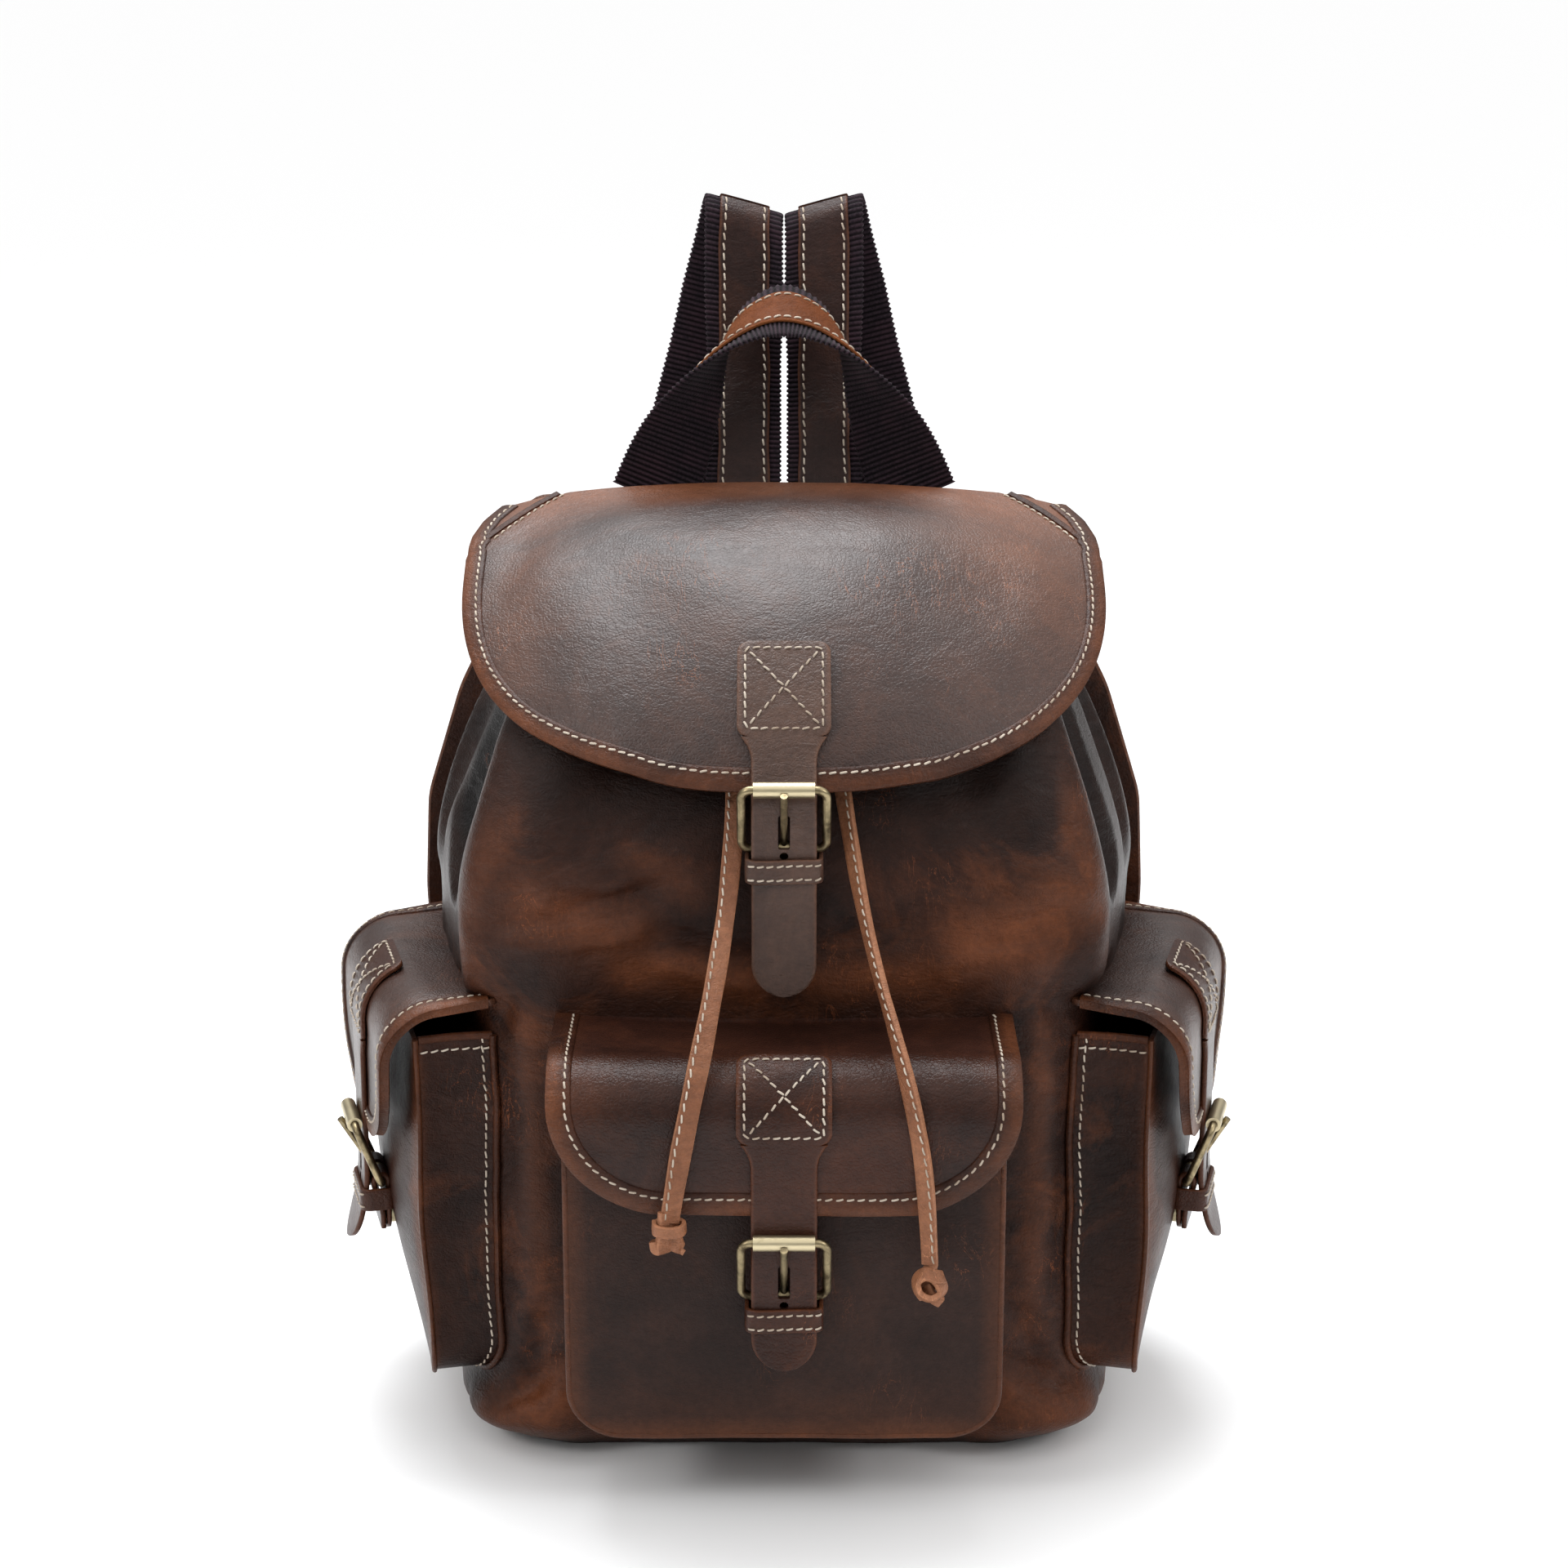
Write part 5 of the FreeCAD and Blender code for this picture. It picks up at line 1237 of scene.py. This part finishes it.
def closing_strap(place, body, profile, patch_end_at, spot, node, tail_curl):
    """A buckle's strap. profile has rows of y, z and outward y, z of its outer face, in spot's own axes."""
    s = run_length(profile)
    total = s[-1]
    patch_end = float(np.interp(-patch_end_at, -profile[:, 1], s))
    stops = np.unique(np.concatenate([
        np.linspace(0, 5, 12), np.arange(5, total - 13, 1.6), [patch_end - 0.05, patch_end + 0.05],
        np.linspace(patch_end - 5, patch_end + 12, 26),
        total - 12.5 * (1 - np.cos(np.linspace(math.pi / 2, 0, 18))),
    ]))
    stops = stops[(stops >= 0) & (stops <= total)]
    y, z, ny, nz = (np.interp(stops, s, profile[:, k]) for k in range(4))
    out = unit(np.column_stack([np.zeros_like(ny), ny, nz]))
    curl_by = tail_curl * np.clip((stops - (total - 34)) / 34, 0, 1) ** 2
    thick = np.full_like(stops, 2.4)
    centre = np.column_stack([np.zeros_like(y), y, z]) + out * (curl_by - 1.2)[:, None]
    width = strap_width(stops, 0.0, patch_end, total)
    across = np.tile([1.0, 0.0, 0.0], (len(stops), 1))
    local = band_sections(centre, across, out, width, thick)
    shape = local.shape
    world = spot(local.reshape(-1, 3)).reshape(shape)
    skin = STRAP if place == "lid" else FLAP
    obj = loft(place + "_closing_strap", world, skin, wear_and_shade=edge_wear(len(stops), 0.5, 0.05))
    slot = rounded([(-2.3, -24.4), (2.3, -24.4), (2.3, -11.1), (-2.3, -11.1)], [0.8] * 4, step=0.5)
    cut(obj, "slot_cutter", *prism(slot, -6, 6, spot))
    cut(obj, "hole_cutter", *prism(circle(1.7, 0, -27.2), -6, 6, spot))
    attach(obj, body)
    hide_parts(node)

    def on_strap(points):
        x, run = points[:, 0], points[:, 1]
        y, z, ny, nz = (np.interp(run, s, profile[:, k]) for k in range(4))
        normal = np.column_stack([np.zeros_like(ny), ny, nz])
        return spot(np.column_stack([x, y, z])), spot(normal, True)

    e, inner = 3.1, 18 - 3.1
    box = [(-inner, e), (inner, e), (inner, patch_end - e), (-inner, patch_end - e)]
    box = rounded(box, [2.5] * 4, step=1.0)
    line, normal = on_strap(box)
    stitch(body + "_stitches", line + normal * 0.1, normal, closed=True, pitch=3.9, long=2.9)
    for sign in (-1, 1):
        way = np.linspace(0, 1, 24)
        track_x = sign * (-inner + 1.5 + way * (2 * inner - 3))
        track_run = e + 1.5 + way * (patch_end - 2 * e - 3)
        line, normal = on_strap(np.column_stack([track_x, track_run]))
        stitch(body + "_stitches", line + normal * 0.1, normal, pitch=3.9, long=2.9)


def tab_and_keeper(place, body, spot, node):
    """The buckle's tab, folded round its lower bar, and the keeper loop round tab and strap."""
    skin = STRAP if place == "lid" else FLAP
    bar_y, bar_z = BAR_LOW
    low = -(TAIL_LONG[place]) + 3.5
    path = [(bar_y + 3.05, low), (bar_y + 3.0, -45), (bar_y + 3.0, -34), (bar_y + 3.0, bar_z)]
    for angle in np.radians(np.linspace(15, 165, 9)):
        path.append((bar_y + 3.0 * math.cos(angle), bar_z + 3.0 * math.sin(angle)))
    path += [(bar_y - 3.0, bar_z), (bar_y - 2.2, bar_z - 5), (bar_y - 0.2, bar_z - 10),
             (bar_y + 0.5, bar_z - 16), (bar_y + 0.55, bar_z - 21)]
    line = resample(path, step=0.9)
    along = unit(np.gradient(line, axis=0))
    out = np.column_stack([np.zeros(len(line)), along[:, 1], -along[:, 0]])
    run = run_length(line)
    left = np.clip(run, 0, 9)
    width = np.where(run < 9, 24.4 - 2 * (9 - np.sqrt(np.maximum(81 - (9 - left) ** 2, 0))), 24.4)
    centre = np.column_stack([np.zeros(len(line)), line])
    across = np.tile([1.0, 0.0, 0.0], (len(line), 1))
    local = band_sections(centre, across, out, np.maximum(width, 7), 2.2)
    tab = loft(place + "_buckle_tab", spot(local.reshape(-1, 3)).reshape(local.shape), skin,
               wear_and_shade=edge_wear(len(line), 0.45, 0.05))
    slot = [(-2.9, bar_z - 5), (2.9, bar_z - 5), (2.9, bar_z + 8), (-2.9, bar_z + 8)]
    slot = rounded(slot, [1.5] * 4, step=1)
    cut(tab, "eye_cutter", *prism(slot, bar_y - 7, bar_y + 7, spot))
    ring = rounded([(-14.1, -2.5), (14.1, -2.5), (14.1, 11.1), (-14.1, 11.1)], [3.4] * 4, step=0.8)
    ring_out = -inward(ring)
    middle_z = KEEPER_LOW + KEEPER_TALL / 2
    centre = np.column_stack([ring, np.full(len(ring), middle_z)])
    centre[:, 2] += 0.25 * np.sin(ring[:, 0] / 5)
    out = np.column_stack([ring_out, np.zeros(len(ring))])
    up = np.tile([0.0, 0.0, 1.0], (len(ring), 1))
    local = band_sections(centre, up, out, KEEPER_TALL, 1.8)
    keeper = loft(place + "_keeper", spot(local.reshape(-1, 3)).reshape(local.shape), skin, closed=True,
                  wear_and_shade=edge_wear(len(ring), 0.6, 0.15))
    for obj in (tab, keeper):
        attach(obj, body)
    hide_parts(node)
    front = (ring[:, 1] < 0) & (np.abs(ring[:, 0]) < 13.6)
    order = np.argsort(ring[front, 0])
    for dz in (-2.9, 2.6):
        p = centre[front][order] + out[front][order] * 0.95 + [0, 0, dz]
        stitch(body + "_stitches", spot(p), spot(out[front][order], True), pitch=3.9, long=2.9)


def metal(node, material):
    """Gives a carried CAD node its material."""
    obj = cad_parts[node]
    if not obj.material_slots:
        obj.data.materials.append(material)
    for entry in obj.material_slots:
        entry.material = material


def place_frame(place, origin):
    """Maps a fastening's own frame to the bag's: points, or directions if told so."""
    turn = PLACES[place][0] if place in PLACES else 0.0
    c, si = math.cos(turn), math.sin(turn)

    def spot(points, direction=False):
        p = np.asarray(points, float)
        world = np.stack([p[..., 0] * c - p[..., 1] * si, p[..., 0] * si + p[..., 1] * c, p[..., 2]], -1)
        return world if direction else world + origin

    return spot


for place in ("front", "left", "right"):
    kind = "front" if place == "front" else "side"
    _, height, depth = SIZES[kind][:3]
    pocket(place, kind)
    body = place + "_flap"
    flap(place, kind, body)
    roller_z = height - ROLLER_DOWN
    origin = to_world(np.array([0.0, -(depth + ROLLER_OUT), roller_z]), place)
    spot = place_frame(place, origin)
    profile = bent_profile(kind, STRAP_PROUD, 15.0, roller_z - TAIL_LONG[place])
    profile = profile - [-(depth + ROLLER_OUT), roller_z, 0, 0]
    closing_strap(place, body, profile, 38.0, spot, place + "_pocket_strap", 3.0 if kind == "front" else 7.0)
    tab_and_keeper(place, body, spot, place + "_pocket_tab_and_keeper")

# the lid's strap: round the lid's bulge, straight off its edge, then hanging to the buckle and its tail
LID_ROLLER_Y, LID_ROLLER_Z, LEAVE = -99.5, 292, 62
arc_centre, arc_radius = (LID_RIDGE_Y, LID_TOP - LID_RADIUS), LID_RADIUS + STRAP_PROUD
rows = []
for angle in np.radians(np.linspace(45, LEAVE, 24)):
    rows.append((arc_centre[0] - arc_radius * math.sin(angle), arc_centre[1] + arc_radius * math.cos(angle),
                 -math.sin(angle), math.cos(angle)))
leave = np.array(rows[-1][:2])
down = np.array([-math.cos(math.radians(LEAVE)), -math.sin(math.radians(LEAVE))])
meet = leave + down * ((leave[0] + 100.7) / -down[0])
for share in np.linspace(0, 1, 12)[1:]:
    y, z = leave + (meet - leave) * share
    turn = math.radians(LEAVE + (90 - LEAVE) * share**2)
    rows.append((y, z, -math.sin(turn), math.cos(turn)))
for z in np.linspace(meet[1], LID_ROLLER_Z - TAIL_LONG["lid"], 40)[1:]:
    rows.append((-100.7, z, -1, 0))
lid_profile = np.array(rows) - [LID_ROLLER_Y, LID_ROLLER_Z, 0, 0]
lid_spot = place_frame("lid", np.array([0, LID_ROLLER_Y, LID_ROLLER_Z]))
patch_end_z = arc_centre[1] + arc_radius * math.cos(math.radians(LEAVE - 1)) - LID_ROLLER_Z
closing_strap("lid", "lid", lid_profile, patch_end_z, lid_spot, "lid_strap", 2.5)
tab_and_keeper("lid", "lid", lid_spot, "lid_tab_and_keeper")

for prefix in ("lid", "front_pocket", "left_pocket", "right_pocket"):
    metal(prefix + "_buckle_frame", DULL)
    metal(prefix + "_prong", DULL)
    metal(prefix + "_roller", BRIGHT)
    metal(prefix + "_stud", BRIGHT)
for node in ("eyelets", "snap_sockets", "left_strap_slider", "right_strap_slider", "anchor_rings"):
    metal(node, DULL)

# ---------------------------------------------------------------- webbing and its leather strips

# rows of x, y, z of a band's middle, then its lean and its pitch in degrees; mirrored for the left strap
RISER = [
    (17.2, 74.0, 304, 0, 0), (17.2, 74.0, 362, 0, 0), (17.2, 87.5, 388, 2, 24), (17.2, 105, 418, 5, 24),
    (17.2, 113, 448, 9, 17), (17.2, 117.5, 471, 13, 16), (17.2, 120.5, 483, 15, 45),
    (17.2, 125.4, 488, 15, 90),
]
LOOP = [
    (17.3, 126, 488, 15, 90), (18.6, 132, 484, 15, 125), (21.5, 135.5, 472, 15, 160), (28, 135, 448, 15, 176),
    (40, 129, 404, 14, 174), (54, 121, 348, 13, 173), (70, 113, 280, 13, 173), (85, 105, 215, 13, 173),
    (107.7, 93.1, 118, 13, 173),
]
LOWER = [
    (107.9, 93, 117, 13, 173), (113.5, 90, 93, 13, 173), (118, 85.5, 74, 13, 166), (121, 80, 58, 13, 160),
    (122.6, 77.6, 52, 13, 150),
]
ARCH = [
    (56, 75, 370, 66, 88), (50.8, 75.4, 383, 66, 78), (44, 76, 399, 65, 60), (36, 77, 415, 63, 36),
    (26, 78.5, 431.5, 54, 8), (14, 79.5, 444, 34, -16), (0, 80, 449, 0, -26),
]
WEB_WIDE, HANDLE_WIDE, FACE_WIDE = 31.6, 35.6, 22
WEB_THICK, FACE_THICK, RIB = 2.2, 1.6, 2.2


def strap_rows(points, side):
    rows = []
    for x, y, z, lean, pitch in points:
        tip, turn = math.radians(lean), math.radians(pitch)
        across = np.array([math.cos(tip), 0, side * math.sin(tip)])
        level = np.array([0.0, -1.0, 0.0])
        up = -np.cross(across, level)
        up = up if up[2] > 0 else -up
        rows.append(np.concatenate([[side * x, y, z], across, level * math.cos(turn) + up * math.sin(turn)]))
    return np.array(rows)


def arch_rows():
    left = [(-x, y, z, rise, tip) for x, y, z, rise, tip in ARCH]
    right = [(x, y, z, -rise, tip) for x, y, z, rise, tip in reversed(ARCH[:-1])]
    rows = []
    for x, y, z, rise, tip in left + right:
        slope, roll = math.radians(rise), math.radians(tip)
        along = np.array([math.cos(slope), 0, math.sin(slope)])
        up = np.array([-math.sin(slope), 0, math.cos(slope)])
        out = up * math.cos(roll) + np.array([0, 1, 0]) * math.sin(roll)
        rows.append(np.concatenate([[x, y, z], np.cross(along, out), out]))
    return np.array(rows)


def webbing_band(name, path, run, width, body, node=None):
    """Webbing with its cross ribs in relief and slightly scalloped edges."""
    centre, across, out = path[:, :3], unit(path[:, 3:6]), unit(path[:, 6:9])
    rib = np.cos(2 * math.pi * run / RIB)
    near_top = np.clip((centre[:, 2] - 425) / 25, 0, 1)
    width = width + 2.5 * near_top + 0.9 * rib
    sections = band_sections(centre, across, out, width, WEB_THICK * (0.9 + 0.3 * rib))
    # the rib phase stored here darkens the grooves between the ribs in the cloth's colour: painted shade
    obj = loft(name, sections, WEB, wear_and_shade=np.repeat(0.5 + 0.5 * rib, sections.shape[1]), sharp=75)
    if node:
        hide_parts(node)
    if body:
        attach(obj, body)
    return obj


def facing_strip(name, path, body, piece, node=None, material=FACING, worn=0.35, middle=0.0):
    """The leather strip sewn along webbing, a stitch row near each edge."""
    centre, across, out = path[:, :3], unit(path[:, 3:6]), unit(path[:, 6:9])
    share = np.linspace(0, 1, len(path))
    crown = centre + out * (WEB_THICK / 2 + 0.1 + FACE_THICK / 2)
    width = FACE_WIDE + 0.35 * np.sin(share * 23) + 0.25 * np.sin(share * 51)
    wear_and_shade = edge_wear(len(path), worn, middle)
    obj = loft(name, band_sections(crown, across, out, width, FACE_THICK), material, wear_and_shade=wear_and_shade)
    if node:
        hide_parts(node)
    if body:
        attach(obj, body)
    top = crown + out * (FACE_THICK / 2)
    for sign in (-1, 1):
        stitch(piece, top + across * (sign * (width / 2 - 2.4))[:, None], out, pitch=4.3, long=3.2)
    return obj


for side, word in ((-1, "left"), (1, "right")):
    body = word + "_strap"
    rows = strap_rows(RISER, side)
    path, run = smooth_path(rows, RIB / 4)
    webbing_band(word + "_riser_web", path, run, WEB_WIDE, "bag", "riser_webbing" if side < 0 else None)
    facing_strip(word + "_riser_strip", path[::3], "bag", "riser_stitches",
                 "riser_facing" if side < 0 else None)
    rows = strap_rows(LOOP, side)
    path, run = smooth_path(rows, RIB / 4)
    half = len(path) // 2
    facing_end = int(np.argmin(np.linalg.norm(path[:, :3] - rows[7, :3], axis=1)))
    upper = webbing_band(word + "_strap_web_upper", path[: half + 1], run[: half + 1], WEB_WIDE, None,
                         word + "_strap_webbing")
    lower = webbing_band(word + "_strap_web_lower", path[half:], run[half:], WEB_WIDE, None)
    cap = facing_strip(word + "_strap_strip_upper", path[: half + 1 : 3], None, word + "_upper_stitches",
                       word + "_strap_facing")
    end_strip = facing_strip(word + "_strap_strip_lower", path[half:facing_end:3], None,
                             word + "_lower_stitches")
    low_from, low_to = tuple(path[half + 20, :3] * MM), tuple(path[-1, :3] * MM)
    for obj in (upper, cap):
        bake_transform(obj)
    for obj in (lower, end_strip):
        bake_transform(obj)
        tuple(low_from)
        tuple(low_to)
    path, run = smooth_path(strap_rows(LOWER, side), RIB / 4)
    webbing_band(word + "_lower_web", path, run, WEB_WIDE, "bag", "lower_webbing" if side < 0 else None)

path, run = smooth_path(arch_rows(), RIB / 4)
handle = webbing_band("handle_web", path, run, HANDLE_WIDE, None, "handle_webbing")
HANDLE_LEATHER = leather("handle_leather", (0.055, 0.016, 0.006), (0.16, 0.048, 0.0165), (0.24, 0.08, 0.026),
                         (0.4, 0.55), rubbed=0.3, wrinkle=1.0, gloss=0.04)
facing_strip("handle_strip", path[::3], "handle", "handle_stitches", "handle_facing", HANDLE_LEATHER,
             0.5, 0.1)
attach(handle, "handle")

# anchor tabs, folded round the rings
for side, word in ((-1, "left"), (1, "right")):
    outline = rounded([(-17, 37), (-13.5, 10), (11, 10), (17, 37)], [1, 4, 4, 1], step=1.4)

    def on_tab(flat, side=side):
        swell = 0.5 * np.cos(flat[:, 0] / 9)
        x = side * 122 + flat[:, 0] * side
        normal = np.tile([0.0, 1.0, 0.0], (len(flat), 1))
        return np.column_stack([x, BACK_Y + 4.4 + swell, flat[:, 1]]), normal

    tab = fan_sheet(word + "_anchor_tab", outline, on_tab, 2.4, STRAP, rings=14,
                    wear_and_shade=lambda p: np.clip((np.abs(p[:, 0]) - 10) / 8, 0, 0.6))
    fold_line = []
    for angle in np.radians(np.linspace(-90, 90, 12)):
        fold_line.append((BACK_Y + 5.2 + 2.6 * math.sin(angle), 38.5 + 3.6 * math.cos(angle)))
    fold_line = [(BACK_Y + 2.6, 33)] + fold_line + [(BACK_Y + 7.8 - 1.4, 31), (BACK_Y + 5.2, 27)]
    line = resample(fold_line, step=0.8)
    along = unit(np.gradient(line, axis=0))
    centre = np.column_stack([np.full(len(line), side * 122.0), line])
    out = np.column_stack([np.zeros(len(line)), -along[:, 1], along[:, 0]])
    across = np.tile([1.0, 0.0, 0.0], (len(line), 1))
    fold = loft(word + "_anchor_fold", band_sections(centre, across, out, 30.0, 2.0), STRAP,
                wear_and_shade=edge_wear(len(line), 0.5, 0.1))
    for obj in (tab, fold):
        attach(obj, "bag")
    if side < 0:
        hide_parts("anchor_tabs")
    line, normal = on_tab(outline + inward(outline) * 2.8)
    stitch("bag_stitches", line + normal * 0.1, normal, closed=True, pitch=3.9, long=2.9)

# ---------------------------------------------------------------- stitches into pieces

RIDES = {"bag_stitches": "bag", "lid_stitches": "lid", "front_flap_stitches": "front_flap",
         "left_flap_stitches": "left_flap", "right_flap_stitches": "right_flap", "riser_stitches": "bag",
         "handle_stitches": "handle"}
built = {name: collected.build(name) for name, collected in threads.items()}
for name, obj in built.items():
    if name in RIDES:
        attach(obj, RIDES[name])
for side, word in ((-1, "left"), (1, "right")):
    body = word + "_strap"
    path, _ = smooth_path(strap_rows(LOOP, side), RIB / 4)
    half = len(path) // 2
    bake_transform(built[word + "_upper_stitches"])
    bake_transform(built[word + "_lower_stitches"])
for name in ("left_drawstring_stitches", "right_drawstring_stitches"):
    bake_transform(built[name])
for cord, line, length, ends, stitched in (
    (cord_left, left_line, 0.191, [stub, cuff, fray], "left_drawstring_stitches"),
    (cord_right, right_line, 0.209, [loop, tail], "right_drawstring_stitches"),
):
    [tuple(p) for p in line * MM]

# ---------------------------------------------------------------- floor and light


def plain(name, rgb, rough):
    s = Shader(name)
    s.feed(s.surface, {"Base Color": colour(*rgb), "Roughness": rough, "Specular IOR Level": 0.2})
    return s.material


floor = mesh_object("floor", [(-9000, -3000, 0), (9000, -3000, 0), (9000, 30000, 0), (-9000, 30000, 0)],
                    [[0, 1, 2, 3]], plain("pale_floor", (0.9, 0.9, 0.9), 0.8))

world = bpy.data.worlds.new("studio")
bpy.context.scene.world = world
world.use_nodes = True
sky = world.node_tree
overhead = sky.nodes.new("ShaderNodeSeparateXYZ")
sky.links.new(sky.nodes.new("ShaderNodeTexCoord").outputs["Generated"], overhead.inputs[0])
level = sky.nodes.new("ShaderNodeValToRGB")
sky.links.new(overhead.outputs["Z"], level.inputs["Fac"])
for element, (height, grey) in zip(level.color_ramp.elements, ((0.12, 0.1), (0.75, 1.0))):
    element.position, element.color = height, (grey, grey, grey, 1)
sky.links.new(level.outputs["Color"], sky.nodes["Background"].inputs["Color"])
sky.nodes["Background"].inputs["Strength"].default_value = 1.4


def softbox(name, at, target, wide, tall, power, tint=(1, 1, 1)):
    lamp = bpy.data.lights.new(name, "AREA")
    lamp.shape, lamp.size, lamp.size_y, lamp.energy, lamp.color = "RECTANGLE", wide, tall, power, tint
    obj = bpy.data.objects.new(name, lamp)
    obj.location = at
    obj.rotation_euler = (Vector(target) - Vector(at)).to_track_quat("-Z", "Y").to_euler()
    bpy.context.scene.collection.objects.link(obj)


softbox("top", (-0.14, 0.42, 1.6), (-0.03, -0.02, 0.35), 1.05, 1.0, 27, (0.95, 0.975, 1.0))
softbox("front_left", (-1.5, -1.3, 1.5), (0, 0, 0.2), 0.5, 0.5, 10)
softbox("front_right", (1.7, -0.9, 1.3), (0, 0, 0.2), 0.4, 0.5, 8)

bpy.context.scene.view_settings.view_transform = "Standard"
